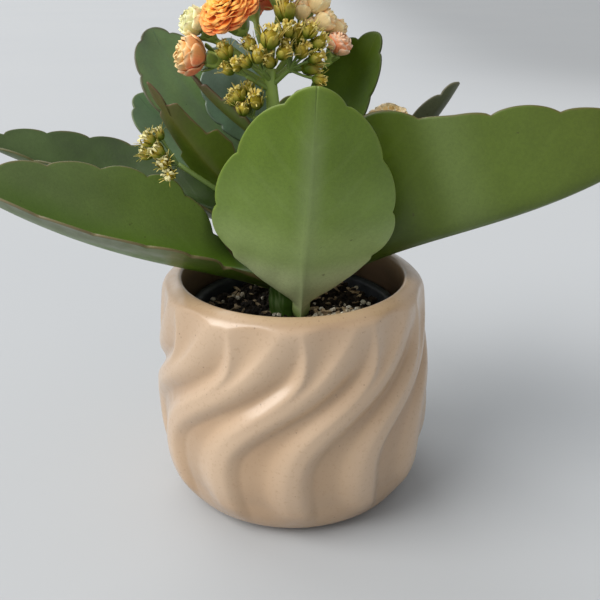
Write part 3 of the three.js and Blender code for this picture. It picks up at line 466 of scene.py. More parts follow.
def leaf_paint(name, top, under, middle, rim, sheen=0.1, mottle=0.12, gloss=0.3):
    """Waxy leaf skin. top, under: shades from stalk to tip. middle, rim: shade, width and share of the
    soft band along the midrib and of the margin."""
    p = Paint(name, Specular_IOR_Level=gloss, Coat_Weight=sheen, Coat_Roughness=0.3)
    upper, out, run, edge = p.read("upper"), p.read("out"), p.read("run"), p.read("rim")
    width = p.math("ABSOLUTE", out)
    base = p.mix(p.ramp(run, under), p.ramp(run, top), upper)
    broad, fine = p.noise(24, 3, 0.6), p.noise(900, 3, 0.7)
    blotch = p.span(broad, 0.3, 0.7, 1 + 0.5 * mottle, 1 - mottle)
    base = p.tone(base, p.times(blotch, p.span(fine, 0.3, 0.7, 0.93, 1.06)))
    shade, wide, share = middle
    band = p.times(p.span(width, 0, wide, share, 0), p.span(run, 0.02, 0.25))
    base = p.patch(base, shade, band, p.span(run, 0.8, 1, 1, 0.3))
    vein = tuple(min(255, 1.15 * c + 14) for c in shade)
    base = p.patch(base, vein, p.span(width, 0.15, 0.75, 1, 0), p.span(run, 0.1, 0.45, 0.25, 0.04))
    slant = p.math("MULTIPLY_ADD", width, -0.011, run)
    wave = p.math("SINE", p.times(p.math("MULTIPLY_ADD", p.noise(45, 2), 0.05, slant), 46.0))
    side = p.times(p.span(wave, 0.6, 1), p.span(edge, 2, 9))  # side veins
    base = p.patch(base, vein, side, 0.025)
    base = p.patch(base, (40, 52, 18), p.span(p.cells(1500), 0.08, 0.3, 1, 0), 0.16)  # pores
    scar = p.times(p.span(p.noise(330, 2), 0.7, 0.76), p.span(p.noise(60, 1), 0.52, 0.62))
    base = p.patch(base, (60, 50, 26), scar, 0.5)
    shade, wide, share = rim
    reach = p.span(p.noise(120, 2), 0.3, 0.7, 0.4 * wide, 1.6 * wide)
    base = p.mix(base, shade, p.span(edge, 0.1, reach, share, 0))
    rough = p.span(p.noise(180), 0.3, 0.75, 0.36, 0.52)
    height = p.math("MULTIPLY_ADD", side, -0.3, p.times(fine, 0.5))
    height = p.math("MULTIPLY_ADD", broad, 1.6, height)
    return p.finish(base, rough, height, 0.22, 0.35)


PETAL = ("along", "upper", "layer", "across")  # what is known of each point of a petal


def petal_paint(name, heart, body, tip, back, outer=None, below=1000, deep=0.22):
    """Soft petals: heart to body from the middle out, a paler end, a deeper back and fine veins. outer:
    the shade of the lowest layers, a share deep of them, where they are lower than below."""
    # white=1: the petals are painted brighter than the other paints, which stands in for the light that
    # shines through them
    p = Paint(name, white=1, Specular_IOR_Level=0.25, Sheen_Weight=0.15, Roughness=0.6)
    along, upper, layer, across = (p.read(key) for key in PETAL)
    face = p.mix(body, heart, p.span(layer, 0.25, 0.85))
    face = p.mix(face, heart, p.span(along, 0.6, 0.1, 0, 0.5))
    under = p.mix(back, face, p.span(layer, 0.1, 0.9, 0.1, 0.8))
    base = p.mix(under, face, upper)
    lowest = p.times(p.span(layer, 0.0, deep, 0.8, 0), p.span(p.place(2), below * MM, (below - 5) * MM))
    base = p.mix(base, outer or body, lowest)
    veins = p.span(p.math("SINE", p.times(across, 26.0)), 0.2, 1)
    base = p.patch(base, back, veins, 0.14)
    # painted highlight: the paler ends and sides stand for the light caught by the petals' edges
    sides = p.span(p.math("ABSOLUTE", across), 0.72, 1.0, 0, 0.7)
    base = p.patch(base, tip, p.math("MAXIMUM", p.span(along, 0.78, 0.98), sides), 0.6)
    base = p.tone(base, p.span(p.noise(700, 2), 0.3, 0.7, 0.95, 1.05))
    height = p.math("MULTIPLY_ADD", veins, 0.5, p.noise(900, 2))
    return p.finish(base, None, height, 0.25, 0.15)


def stalk_paint():
    p = Paint("stalk_green", Specular_IOR_Level=0.4, Coat_Weight=0.15, Coat_Roughness=0.35)
    # the stem's pale green higher up is painted lighter still, to offset the shade that the flowers cast on
    # it
    base = p.mix((54, 86, 14), (192, 220, 112), p.read("high"))
    base = p.tone(base, p.span(p.noise(60), 0.35, 0.7, 1.04, 0.8))
    streak = p.span(p.noise(500, 2, 0.6, (1, 1, 0.15)), 0.5, 0.8)
    base = p.patch(base, (176, 190, 140), streak, 0.25)
    height = p.noise(420, 3, 0.6, (1, 1, 0.2))
    return p.finish(base, p.span(p.noise(260, 2), 0.3, 0.7, 0.4, 0.55), height, 0.3, 0.3)


SEPAL, THREAD, CURL, PALE_CURL = 1.5, 2.4, 2.5, 3.0  # layers above 1, which buds don't reach


def bud_paint():
    """Buds: olive below and yellower above, with brownish flecks; layer is how ripe they are, from 0 to
    1, or marks the sepals, threads and curled petal ends round them."""
    p = Paint("bud_skin", Specular_IOR_Level=0.3)
    along, kind, across = p.read("along"), p.read("layer"), p.read("across")
    low = p.mix((108, 118, 14), (176, 164, 46), kind)
    high = p.mix((180, 162, 28), (242, 210, 76), kind)
    base = p.mix(low, high, p.span(along, 0.2, 0.8))
    sepal = p.mix((102, 122, 18), (206, 188, 76), p.span(along, 0.3, 1))
    base = p.mix(base, sepal, p.span(kind, 1.1, 1.3))
    curled = p.mix((238, 192, 54), (255, 242, 150), along)
    base = p.mix(base, curled, p.span(kind, 2.1, 2.3))
    base = p.mix(base, (255, 246, 182), p.span(kind, 2.7, 3.0))
    fleck = p.span(p.noise(420), 0.5, 0.72)
    base = p.patch(base, (104, 62, 22), fleck, p.span(along, 0.3, 1, 0.15, 0.5))
    seam = p.times(p.span(across, 0.0, 0.16, 1, 0), p.span(kind, 1.0, 1.2, 1, 0))
    base = p.patch(base, (96, 84, 34), seam, 0.4)
    height = p.math("MULTIPLY_ADD", seam, -1.0, p.noise(600, 2))
    return p.finish(base, p.span(p.noise(300, 2), 0.3, 0.7, 0.45, 0.62), height, 0.35, 0.25)


def soil_paint():
    p = Paint("potting_mix", Specular_IOR_Level=0.2, Roughness=0.95)
    base = p.mix((30, 24, 17), (64, 50, 35), p.span(p.noise(260, 4, 0.7), 0.42, 0.72))
    base = p.patch(base, (128, 104, 78), p.span(p.cells(700), 0.05, 0.3, 1, 0), 0.28)
    return p.finish(base, None, p.noise(520, 4, 0.7), 0.8, 1.2)


def grain_paint(name, light, dark, scale, rough):
    p = Paint(name, Specular_IOR_Level=0.3, Roughness=rough)
    base = p.mix(dark, light, p.span(p.noise(scale, 4, 0.65, (1, 1, 2.2)), 0.36, 0.62))
    base = p.patch(base, (40, 30, 22), p.span(p.noise(scale * 2.3, 2), 0.55, 0.75), 0.45)
    base = p.tone(base, p.span(p.place(0), -5 * MM, 15 * MM, 0.75, 1.35))  # painted light on the right and painted shade on the left
    return p.finish(base, None, p.noise(scale * 2), 0.6, 0.4)


def plastic_paint():
    p = Paint("nursery_plastic", Specular_IOR_Level=0.45)
    base = p.mix((46, 50, 54), (70, 75, 80), p.span(p.noise(90), 0.4, 0.75))
    base = p.patch(base, (120, 112, 98), p.span(p.noise(700, 3, 0.7), 0.58, 0.75), 0.35)  # dust
    return p.finish(base, p.span(p.noise(200, 2), 0.3, 0.7, 0.35, 0.6), p.noise(800, 2), 0.15, 0.2)


# slot, shades along the upper side and along the underside as (place, shade), shade, width and share of
# the band along the midrib and of the rim, then sheen, mottling and gloss
LOOKS = {
    # front: the very pale shades near the foot of the underside are painted light that lifts the shade under
    # its bend, and its yellow-green rim is painted light shining through the thin margin
    "front": (
        "leaf", [(0, (110, 132, 60)), (1, (104, 130, 46))],
        [(0, (150, 176, 96)), (0.14, (218, 228, 168)), (0.27, (216, 230, 168)), (0.42, (160, 182, 110)),
         (0.62, (126, 152, 66)), (0.82, (110, 137, 40)), (1, (104, 131, 20))],
        ((160, 176, 124), 6, 0.35), ((146, 162, 72), 1, 0.3), 0.1, 0.1),
    # right: the darker shades near the stalk are a painted shadow of the front leaf, and the lighter band at
    # mid-length is painted sheen
    "right": (
        "leaf", [(0, (58, 74, 12)), (0.34, (66, 84, 16)), (0.6, (96, 118, 30)), (1, (92, 110, 26))],
        [(0, (56, 72, 4)), (0.33, (62, 80, 4)), (0.43, (84, 104, 22)), (0.52, (108, 128, 60)),
         (0.64, (94, 114, 36)), (1, (88, 104, 26))], ((104, 124, 56), 5, 0.15), ((104, 88, 48), 0.8, 0.7)),
    # left: the pale grey-green underside toward the tip is painted sheen from the bright floor
    "left": (
        "leaf", [(0, (66, 96, 8)), (0.4, (106, 130, 54)), (1, (114, 136, 74))],
        [(0, (74, 96, 20)), (0.45, (98, 116, 54)), (0.7, (118, 132, 88)), (1, (126, 138, 104))],
        ((90, 126, 0), 13, 0.8), ((142, 114, 84), 0.8, 0.6), 0.15, 0.2),
    "left_back": (
        "leaf_dark", [(0, (38, 58, 0)), (0.5, (54, 80, 12)), (1, (80, 98, 56))],
        [(0, (50, 70, 16)), (1, (76, 92, 48))], ((36, 58, 2), 5, 0.4), ((112, 96, 62), 0.8, 0.6),
        0.1, 0.5, 0.2),
    "upper_left": (
        "leaf_dark", [(0, (66, 94, 30)), (0.35, (112, 146, 78)), (1, (124, 158, 100))],
        [(0, (80, 112, 50)), (1, (104, 138, 82))], ((120, 146, 106), 3, 0.25), ((92, 80, 58), 1, 0.8),
        0.5, 0.4, 0.4),
    "mid_left": (
        "leaf_dark", [(0, (60, 92, 34)), (1, (124, 156, 108))], [(0, (58, 86, 34)), (1, (80, 110, 70))],
        ((90, 120, 84), 3, 0.3), ((104, 96, 66), 0.9, 0.5), 0.3, 0.4, 0.3),
    # centre: the pale blue-grey toward the tip is painted reflection on the glossy upper side
    "centre": (
        "leaf_dark", [(0, (82, 112, 60)), (0.45, (118, 152, 122)), (1, (148, 172, 164))],
        [(0, (60, 80, 40)), (1, (90, 110, 90))], ((76, 100, 72), 4, 0.3), ((92, 98, 78), 0.8, 0.5),
        0.6, 0.6, 0.45),
    "upper_right": (
        "leaf_dark", [(0, (86, 116, 12)), (0.6, (80, 108, 4)), (1, (72, 94, 8))],
        [(0, (60, 84, 10)), (1, (56, 74, 12))], ((72, 92, 20), 4, 0.15), ((78, 82, 50), 0.9, 0.5),
        0.05, 0.15, 0.2),
    "young": (
        "leaf_young", [(0, (78, 106, 8)), (1, (90, 106, 26))],
        [(0, (82, 110, 10)), (0.6, (94, 114, 26)), (1, (104, 96, 60))],
        ((96, 92, 36), 2.4, 0.3), ((128, 100, 74), 1.1, 0.75), 0.05, 0.3, 0.2),
    "bud": (
        "leaf_young", [(0, (88, 112, 34)), (0.55, (98, 114, 48)), (1, (112, 98, 68))],
        [(0, (88, 110, 32)), (0.55, (96, 110, 46)), (1, (112, 96, 70))],
        ((104, 96, 56), 1.2, 0.3), ((128, 100, 76), 0.8, 0.7)),
    "mid_right": (
        "leaf", [(0, (76, 88, 40)), (1, (100, 106, 74))], [(0, (88, 96, 50)), (1, (116, 120, 94))],
        ((104, 116, 74), 3, 0.3), ((112, 104, 78), 0.8, 0.6), 0.2, 0.3),
    "back": (
        "leaf", [(0, (84, 106, 36)), (1, (102, 124, 50))], [(0, (96, 116, 50)), (1, (108, 128, 66))],
        ((116, 138, 78), 4, 0.3), ((120, 104, 60), 0.9, 0.6)),
}
LEAF_PAINTS = {look: leaf_paint(f"leaf_{look}", *facts) for look, (_, *facts) in LOOKS.items()}
GLAZE, STALK, BUD, SOIL, PLASTIC = glaze_paint(), stalk_paint(), bud_paint(), soil_paint(), plastic_paint()
ORANGE = petal_paint(
    "petal_orange", (255, 206, 84), (255, 152, 50), (255, 196, 110), (252, 108, 56), (255, 108, 78))
ROSE = petal_paint(
    "petal_rose", (255, 200, 90), (255, 214, 138), (255, 236, 184), (242, 160, 92), (254, 128, 88), 167, 0.5)
# bloom_side's petals: the back is painted nearly as light as the face, to lift the shade on the backs turned
# from the light
PEACH = petal_paint(
    "petal_pale", (255, 226, 160), (255, 228, 178), (255, 244, 212), (255, 222, 168), deep=0.04)
CREAM = petal_paint("petal_cream", (255, 246, 168), (255, 250, 190), (255, 254, 214), (232, 232, 160))
BLUSH = petal_paint("petal_blush", (255, 182, 112), (255, 206, 158), (255, 242, 216), (255, 150, 100))
SHELL = petal_paint("petal_shell", (255, 224, 130), (255, 232, 172), (255, 246, 204), (250, 184, 116))
PERLITE = grain_paint("perlite", (240, 232, 212), (176, 162, 134), 420, 0.85)
BARK = grain_paint("bark", (184, 160, 122), (96, 76, 52), 260, 0.85)
CRUMB = grain_paint("peat_crumbs", (56, 46, 32), (20, 16, 11), 300, 0.95)


# --- ceramic pot
def flute_height(t, z):
    """Height of the relief, 0 in the valley to 1 on the crest, at places across one flute."""
    edge, valley = through(PANEL, z), through(VALLEY, z)
    panel = 1 - HOLLOW * np.sin(np.pi * np.clip(t / edge, 0, 1)) * rise(58, 74, z)
    drop = 1 - 0.95 * rise(62, 83, z)  # the valley runs out toward the rim
    fall = 1 - drop * (0.5 - 0.5 * np.cos(np.pi * np.clip((t - edge) / (valley - edge), 0, 1) ** 1.3))
    late = 1.7 - 0.7 * rise(35, 60, z)  # low down, the wall to the next crest is steeper
    climb = 1 - drop * (0.5 + 0.5 * np.cos(np.pi * np.clip((t - valley) / (1 - valley), 0, 1) ** late))
    return np.where(t < edge, panel, np.where(t < valley, fall, climb))


def make_pot():
    """Foot, fluted wall, a rim that trims the flutes into scallops, and the smooth inside."""
    per_flute = 36
    columns = FLUTES * per_flute
    t, flute = np.modf(np.arange(columns) / per_flute)
    rows, crests, insides = [], [], []

    def ring(radius, z, crest=0.0, inside=0.0):
        angle = ((flute + t) * (360 / FLUTES) + through(SWIRL, z)) * DEGREE
        rows.append(np.stack([radius * np.sin(angle), -radius * np.cos(angle), np.full(columns, z)], 1))
        crests.append(np.broadcast_to(crest, columns))
        insides.append(np.full(columns, inside))

    for radius, z in [(36, 0.9), (37.2, 0.5), (38.2, 0.0)]:
        ring(radius, z)
    near_rim = [82, 82.8, 83.5, 84.1, 84.6, 85, 85.35, 85.65, 85.9, 86.1, 86.25, 86.37, 86.45]
    for z in [0.0, 0.5, *np.arange(1.0, 81.1, 1.0), *near_rim]:
        crest = flute_height(t, z)
        radius = through(BELLY, z) - RELIEF * rise(2, 16, z) * (1 - crest)
        if z > RIM[0][0]:  # the smaller of the two, rounded over where they cross
            trim = through(RIM, z)
            radius = (radius + trim) / 2 - np.hypot((radius - trim) / 2, 0.3)
        # crest: the relief's height, 0 at the foot and under the rim, plus a share on the rim's top; the
        # glaze paints shade where it is low and highlight where it is high
        ring(radius, z, crest * rise(8, 22, z) * (1 - rise(82, 86, z)) + 0.5 * rise(84.5, 86.4, z))
    for over, z in [(1.4, POT_HEIGHT), (0.95, 86.42), (0.55, 86.2), (0.25, 85.8), (0.08, 85.2), (0, 84.4)]:
        # the inner lip's crest of 0.4 gives it a little painted highlight
        ring(MOUTH + over, z, 0.4)
    inner = [
        (41.1, 82), (41.3, 79), (41.8, 74), (42.5, 66), (43, 52), (42.7, 40), (42, 26), (40, 14), (38, 9),
    ]
    for radius, z in inner:
        ring(radius, z, 0.0, float(rise(84, 76, z)))
    ring(34, 8, 0.0, 1.0)
    shape = Shape("crest", "inside")
    shape.rings(rows, crest=crests, inside=insides)
    shape.make("ceramic_pot_body", "pot_glaze", GLAZE, ["ceramic_pot"])


def make_nursery_pot():
    """A thin pot with a rolled lip, slightly out of round."""
    profile = [
        (24, 8.3), (27, 8.3), (28, 9.3), (32.2, 40), (36.2, 69.9), (36.6, 70.4), (38.3, 70.5), (38.8, 70.9),
        (38.9, 72.7), (38.6, 73.3), (37.6, 73.5), (36.2, 73.4), (35.5, 72.9), (35.2, 72.2), (34.7, 68),
        (31.2, 40), (27, 10.4), (26, 9.3), (22, 9.2),
    ]
    angles = around(96)
    wobble = 1 + 0.004 * np.sin(3 * angles + 0.6) + 0.002 * np.sin(7 * angles)
    shape = Shape()
    shape.rings([circle(radius * wobble, z, angles) for radius, z in profile])
    shape.make("nursery_pot_shell", "nursery_plastic", PLASTIC, ["nursery_pot"])


# --- potting mix
BED = 34.3  # its radius on top


def mix_level(x, y):
    """Height of the soil, with lumps and a heap at the right in front."""
    lumps = 0.9 * np.sin(x * 0.35 + 1) * np.cos(y * 0.31) + 0.6 * np.sin(x * 0.8 - y * 0.62)
    heap = 2.6 * np.exp(-((x - 19) ** 2 + (y + 16) ** 2) / 11**2)
    return MIX_LEVEL + lumps + heap


def grain(shape, draw, at, size, stretch, jag):
    """One rough lump: a small sphere with every point pushed in or out, stretched and turned."""
    sides = 7
    spin = np.eye(3)
    turns = [draw.uniform(0, 6.3) for _ in range(3)]
    for axis, angle in enumerate(turns):
        if stretch[0] > 1.6 and axis < 2:  # a long one lies nearly level
            angle = 0.35 * math.sin(angle)
        c, s = math.cos(angle), math.sin(angle)
        i, j = [(1, 2), (2, 0), (0, 1)][axis]
        step = np.eye(3)
        step[i, i], step[i, j], step[j, i], step[j, j] = c, -s, s, c
        spin = step @ spin
    rings = []
    for tilt in (-1.25, -0.6, 0.0, 0.6, 1.25):
        ring = circle(math.cos(tilt), math.sin(tilt), around(sides))
        ring *= np.array([[1 + draw.uniform(-jag, jag)] for _ in range(sides)])
        rings.append((ring * size * np.array(stretch)) @ spin.T + np.array(at))
    shape.rings(rings)


def make_mix():
    """The bed, and the crumbs, chips and pearls on it, most of the pale ones in a heap at the right."""
    draw = random.Random(41)
    angles = around(96)
    rows = [circle(radius, z, angles) for radius, z in [(24.5, 9.6), (26.4, 11.6), (34.0, 66.0)]]
    for radius in [BED, *np.arange(33, 1, -1.0), 0.6]:
        x, y = radius * np.cos(angles), radius * np.sin(angles)
        rough = 0.5 * np.sin(2.1 * x + 1.3 * y) * np.sin(1.7 * y - 0.8 * x) + 0.35 * np.sin(3.3 * x - 2.9 * y)
        level = mix_level(x, y) + rough * (radius < 33) - 1.6 * rise(30, BED, radius)
        rows.append(circle(radius, level, angles))
    ground = Shape()
    ground.rings(rows)
    ground.make("potting_mix_bed", "potting_mix", SOIL, ["potting_mix"])

    def spot():
        angle, radius = draw.uniform(0, 2 * math.pi), math.sqrt(draw.uniform(8.0**2, 33.0**2))
        return radius * math.cos(angle), radius * math.sin(angle)

    def heaped(spread):
        while True:
            x, y = draw.gauss(21, spread), draw.gauss(-17, spread)
            if math.hypot(x, y) < 33.5:
                return x, y

    crumbs, chips, pearls = Shape(), Shape(), Shape()
    for _ in range(900):
        x, y = spot()
        size = draw.uniform(0.45, 1.35)
        stretch = (1, draw.uniform(0.7, 1.3), draw.uniform(0.6, 1))
        grain(crumbs, draw, (x, y, mix_level(x, y) + 0.15 * size), size, stretch, 0.28)
    for k in range(280):
        x, y = heaped(8.5) if k % 3 < 2 else spot()
        size, long = draw.uniform(0.45, 1.05), draw.uniform(1.7, 4.0)
        grain(chips, draw, (x, y, mix_level(x, y) + 0.7), size, (long, 1, 0.55), 0.18)
    for k in range(320):
        x, y = heaped(7.6) if k % 8 < 7 else spot()
        size, lift = draw.uniform(0.4, 1.05), draw.uniform(0, 0.5)
        grain(pearls, draw, (x, y, mix_level(x, y) + 0.8 + lift), size, (1, 1.15, 0.9), 0.2)
    crumbs.make("peat_crumbs", "potting_mix", CRUMB, smooth=False)
    chips.make("bark_chips", "potting_mix", BARK, smooth=False)
    pearls.make("perlite_grains", "potting_mix", PERLITE, smooth=False)


# --- leaves
# where the columns of a half lie, from the midrib to the margin
OUTWARD = np.array([0, 0.035, 0.09, 0.17, 0.27, 0.39, 0.52, 0.65, 0.77, 0.87, 0.94, 0.975, 0.993, 1])


def blade(leaf, control, side, s, t):
    """Points of the upper face, s out from the midrib and t along it."""
    tt = t[..., None]
    along = unit(3 * (1 - tt) ** 2 * (control[1] - control[0]) + 6 * (1 - tt) * tt * (control[2] - control[1])
                 + 3 * tt**2 * (control[3] - control[2]))
    across = unit(np.cross(along, np.asarray(leaf["face"], float)))
    up = np.cross(across, along)
    opened = rise(0, 0.3, t)[..., None]  # nothing folds or curls at the stalk
    steps = (np.arange(24) + 0.5) / 24  # the lean is added up from the midrib out
    sigma = s[..., None] * steps
    lean = (leaf["fold"][side] * DEGREE * opened * (1 - np.exp(-sigma / leaf["soft"]))
            + leaf["curl"][side] * DEGREE * opened * sigma / leaf["half"][side])
    out, lift = np.cos(lean).mean(-1) * s, np.sin(lean).mean(-1) * s
    swell = 0.35 * np.sin(11 * t + 0.33 * s + 2 * side) * np.sin(0.21 * s) * rise(0.12, 0.3, t)
    return bezier(control, t) + across * (out if side else -out)[..., None] + up * (lift + swell)[..., None]


def half_width(leaf, side, t):
    """Half width of the uncut outline."""
    q = np.clip((t - leaf["stalk"]) / (1 - leaf["stalk"]), 0, 1)
    low = np.sin(np.pi / 2 * np.clip(q / leaf["broad"], 0, 1)) ** leaf["base"]
    high = (1 - np.clip((q - leaf["broad"]) / (1 - leaf["broad"]), 0, 1) ** leaf["tip"]) ** (1 / leaf["tip"])
    full = leaf["half"][side] * np.where(q < leaf["broad"], low, high)
    shoulder = side * leaf["shoulder"] * rise(0.1, 0.22, q) * (1 - rise(0.22, 0.52, q))
    foot = leaf.get("foot", min(5, 0.16 * max(leaf["half"])))
    return np.hypot(full + shoulder, foot * (1 - q))


def rounded(f):
    """How far a round tooth is cut at f along it, 0 to 1."""
    return 1 - math.sin(math.pi * max(f, 0.012)) ** 0.5


def pointed(f):
    """The same for a tooth whose point lies toward the leaf's tip."""
    point = 0.84
    return 1 - f / point if f < point else (f - point) / (1 - point)


def margin(leaf, side, length):
    """Margin stations: uncut t, then t and s with the teeth cut."""
    fine = np.sin(np.pi / 2 * np.linspace(0, 1, 900))
    s = half_width(leaf, side, fine)
    s[-1] = 0
    run = np.concatenate([[0], np.cumsum(np.hypot(np.diff(s), np.diff(fine) * length))])
    total = run[-1]
    first = leaf["toothed"] * total
    pitch = (total - first) / (leaf["teeth"] - 0.5)
    per_tooth = 16
    depth = leaf.get("sinus", 0.15 * pitch)
    draw = random.Random(f"{leaf['seat']}{side}")
    runs = list(np.linspace(0, first, 44, endpoint=False))
    cuts = [float(depth * 0.9 * rise(first - 0.3 * pitch, first, r) ** 3) for r in runs]
    for tooth in range(leaf["teeth"]):
        whole = tooth < leaf["teeth"] - 1  # the last one is cut in half by the tip
        form = pointed if leaf["jagged"] and whole else rounded
        share = draw.uniform(0.85, 1.15)
        for k in range(per_tooth):
            f = k / per_tooth if whole else k / per_tooth / 2
            runs.append(first + (tooth + f) * pitch)
            cuts.append(depth * share * form(f))
    runs, cuts = np.array([*runs, total]), np.array([*cuts, 0.0])

    def at(distance):
        return np.stack([np.interp(distance, run, fine) * length, np.interp(distance, run, s)], 1)

    t0, s0 = np.interp(runs, run, fine), np.interp(runs, run, s)
    slope = unit(at(runs + 0.4) - at(runs - 0.4))
    return t0, t0 + cuts * slope[:, 1] / length, np.maximum(s0 - cuts * slope[:, 0], 0)


def half_blade(leaf, control, side, feet, t, s):
    """Upper and lower skin of a half whose margin is at t and s, then each point's t, s and distance from
    the margin. feet: where on the midrib each row starts."""
    tt = feet[:, None] + (t - feet)[:, None] * OUTWARD
    ss = s[:, None] * OUTWARD
    top = blade(leaf, control, side, ss, tt)
    ds, dt = 0.02, 0.002  # small steps that show how the surface lies
    outward = blade(leaf, control, side, ss + ds, tt) - blade(leaf, control, side, ss - ds, tt)
    onward = (blade(leaf, control, side, ss, np.clip(tt + dt, 0, 1))
              - blade(leaf, control, side, ss, np.clip(tt - dt, 0, 1)))
    up = unit(np.cross(outward, onward)) * (1 if side else -1)
    stalk = min(5, 0.9 + 0.26 * max(leaf["half"]))  # its thickness
    thin = stalk * 0.5 + (0.8 - stalk * 0.5) * rise(0, leaf["stalk"] * 2, tt)
    middle = 1.2 + (stalk - 1.2) * (1 - tt) ** 2.4
    ridge = 0.18 * stalk * np.clip(1 - ss / 2.5, 0, 1) ** 2 * (1 - tt)
    out = np.clip(ss / np.maximum(half_width(leaf, side, tt), 1e-6), 0, 1)
    swell = 1 - 1.2 * out**2 / (out + 0.2)  # 1 at the midrib, 0 at the margin
    thick = thin + np.maximum(0, middle - thin) * np.maximum(swell, 0) ** 0.8 + ridge
    from_edge = np.linalg.norm(top[:, -1] - top[:, 0], axis=1)[:, None] * (1 - OUTWARD)
    near = 1 - np.clip(from_edge / (0.5 * thick + 1e-6), 0, 1)
    centre = top - up * (thick / 2)[..., None]
    reach = (thick / 2 * np.sqrt(np.clip(1 - near**2, 0, 1)))[..., None]  # the margin is rounded off
    return centre + up * reach, centre - up * reach, tt, ss, from_edge


def make_leaf(name, leaf):
    """One leaf as a closed skin, whose rings lie across it."""
    control = np.array([stem_seat(*leaf["seat"], leaf["clear"]), *leaf["path"]], float)
    midrib = bezier(control, np.linspace(0, 1, 60))
    length = float(np.linalg.norm(np.diff(midrib, axis=0), axis=1).sum())
    edges = [margin(leaf, side, length) for side in (0, 1)]
    feet = (edges[0][0] + edges[1][0]) / 2
    feet = feet - 0.14 * feet**3  # rows slope forward, more so toward the tip
    left, right = (half_blade(leaf, control, side, feet, *edges[side][1:]) for side in (0, 1))
    last = len(OUTWARD) - 1
    # over the top from the left margin to the right one, then back underneath
    way = [(left, 0, j) for j in range(last, 0, -1)] + [(right, 0, j) for j in range(last + 1)]
    way += [(right, 1, j) for j in range(last - 1, 0, -1)] + [(left, 1, j) for j in range(last)]
    shape = Shape("out", "run", "rim", "upper")
    rings, columns = [], {key: [] for key in shape.values}
    for half, layer, j in way:
        rings.append(half[layer][:, j])
        columns["run"].append(half[2][:, j])
        columns["out"].append(half[3][:, j] * (-1 if half is left else 1))
        columns["rim"].append(half[4][:, j])
        columns["upper"].append(np.full(len(feet), 0.5 if j == last else 1.0 - layer))
    rings = np.stack(rings, 1)
    inward = unit(control[1] - control[0]) * (1.6 + leaf["clear"])
    values = {key: np.stack(data, 1) for key, data in columns.items()}
    values = {key: np.concatenate([data[:1], data]) for key, data in values.items()}
    shape.rings(np.concatenate([rings[:1] - inward, rings]), **values)  # the first ring is in the stem
    look = leaf["look"]
    shape.make(f"{name}_blade", LOOKS[look][0], LEAF_PAINTS[look], [name], merge=0.004)


# --- petals, stem, branches and calyces
def petal(shape, base, turn, line, width, cup, thick=0.28, twist=0.0, layer=0.0, square=0.35, frill=0.0,
          rows=8, phase=0.0):
    """One thin closed petal. base: two directions square to its flower's axis, the axis and its foot.
    line: three (radius, height) points of the petal's middle, from root to tip. cup, twist, frill: how far
    its sides rise, slant and wave. square: how wide its root is, as a share of width."""
    u, v, w, origin = base
    radial, side = math.cos(turn) * u + math.sin(turn) * v, -math.sin(turn) * u + math.cos(turn) * v
    q = np.sin(np.pi / 2 * np.linspace(0, 1, rows))
    curve = np.stack([(1 - q) ** 2, 2 * q * (1 - q), q**2], 1) @ np.asarray(line, float)
    step = unit(np.gradient(curve, axis=0))
    columns = 9
    across = np.linspace(-1, 1, columns)
    body = square + (1 - square) * rise(0, 0.62, q)
    end = np.sqrt(np.clip(1 - (np.clip((q - 0.7) / 0.3, 0, 1)) ** 2.6, 0, 1))  # round over the last 0.3
    half = 0.5 * width * body * np.maximum(end, 0.06)
    rings = []
    for k in range(rows):
        normal = -step[k, 1] * radial + step[k, 0] * w  # the upper, inner side
        middle = origin + curve[k, 0] * radial + curve[k, 1] * w
        wave = frill * q[k] ** 2 * np.sin(5.2 * across + phase)
        lift = cup * half[k] * across**2 + wave + twist * across * half[k]
        top = middle + np.outer(across * half[k], side) + np.outer(lift, normal)
        reach = np.outer(thick / 2 * np.sqrt(1 - (0.96 * across) ** 2), normal)
        rings.append(np.concatenate([top + reach, (top - reach)[::-1]]))
    shape.rings(rings, along=q[:, None], upper=np.repeat([1.0, 0.0], columns), layer=layer,
                across=np.concatenate([across, across[::-1]]))


def calyx_of(bloom):
    """A bloom's axis and foot, and the size of the calyx under it."""
    return unit(bloom["axis"]), np.array(bloom["at"], float), bloom["size"] * bloom.get("cup", 1)


def make_stem():
    """The stem, thicker where leaves leave it, its branches with their calyx cups, and the sepals."""
    heights = np.concatenate([np.arange(60, 160, 1.0), [160]])
    x, y, radius = stem_at(heights)
    knots = sum(0.5 * np.exp(-((heights - leaf["seat"][0]) / 2.2) ** 2) for leaf in LEAVES.values())
    radius = radius + np.minimum(knots, 0.6) * (radius / 6)
    angles = around(32)
    ribs = 1 + 0.02 * np.cos(5 * angles)
    shape = Shape("high")
    rings = [circle(r * ribs, z, angles, (cx, cy)) for cx, cy, r, z in zip(x, y, radius, heights)]
    shape.rings(rings, high=rise(100, 150, heights)[:, None])
    thin = 1.05
    for name, (height, way) in BRANCHES.items():
        axis, foot, size = calyx_of(BLOOMS[name])
        top = foot - 0.3 * axis
        cup, throat = top - 3 * size * axis, top - 5.5 * size * axis
        start = (*stem_at(height)[:2], height)
        points = smooth_path([start, *way, throat, cup, top], 36)
        reach = np.linalg.norm(points - top, axis=1)
        radii = thin + (2.4 * size - thin) * rise(5.7 * size, 2.4 * size, reach)
        shape.rings(tube_rings(points, radii, 14), high=0.85)
    shape.make("flower_stem_body", "plant_stem", STALK, ["flower_stem"])

    sepals = Shape("high", *PETAL)
    for bloom in BLOOMS.values():
        draw = random.Random(str(bloom["at"]))
        axis, foot, size = calyx_of(bloom)
        base = (*axes_of(axis), foot - 3.6 * size * axis)
        for k in range(4):
            flare = draw.uniform(0, 0.8)
            line = [(1.6 * size, 0), (3.2 * size, 1.8 * size), (3.6 * size + flare, 4.2 * size)]
            turn = k * math.pi / 2 + draw.uniform(-0.2, 0.2)
            petal(sepals, base, turn, line, 3.0 * size, 0.35, 0.5, square=0.75)
    sepals.values["high"] = [0.45] * len(sepals.points)
    sepals.make("calyx_sepals", "plant_stem", STALK)


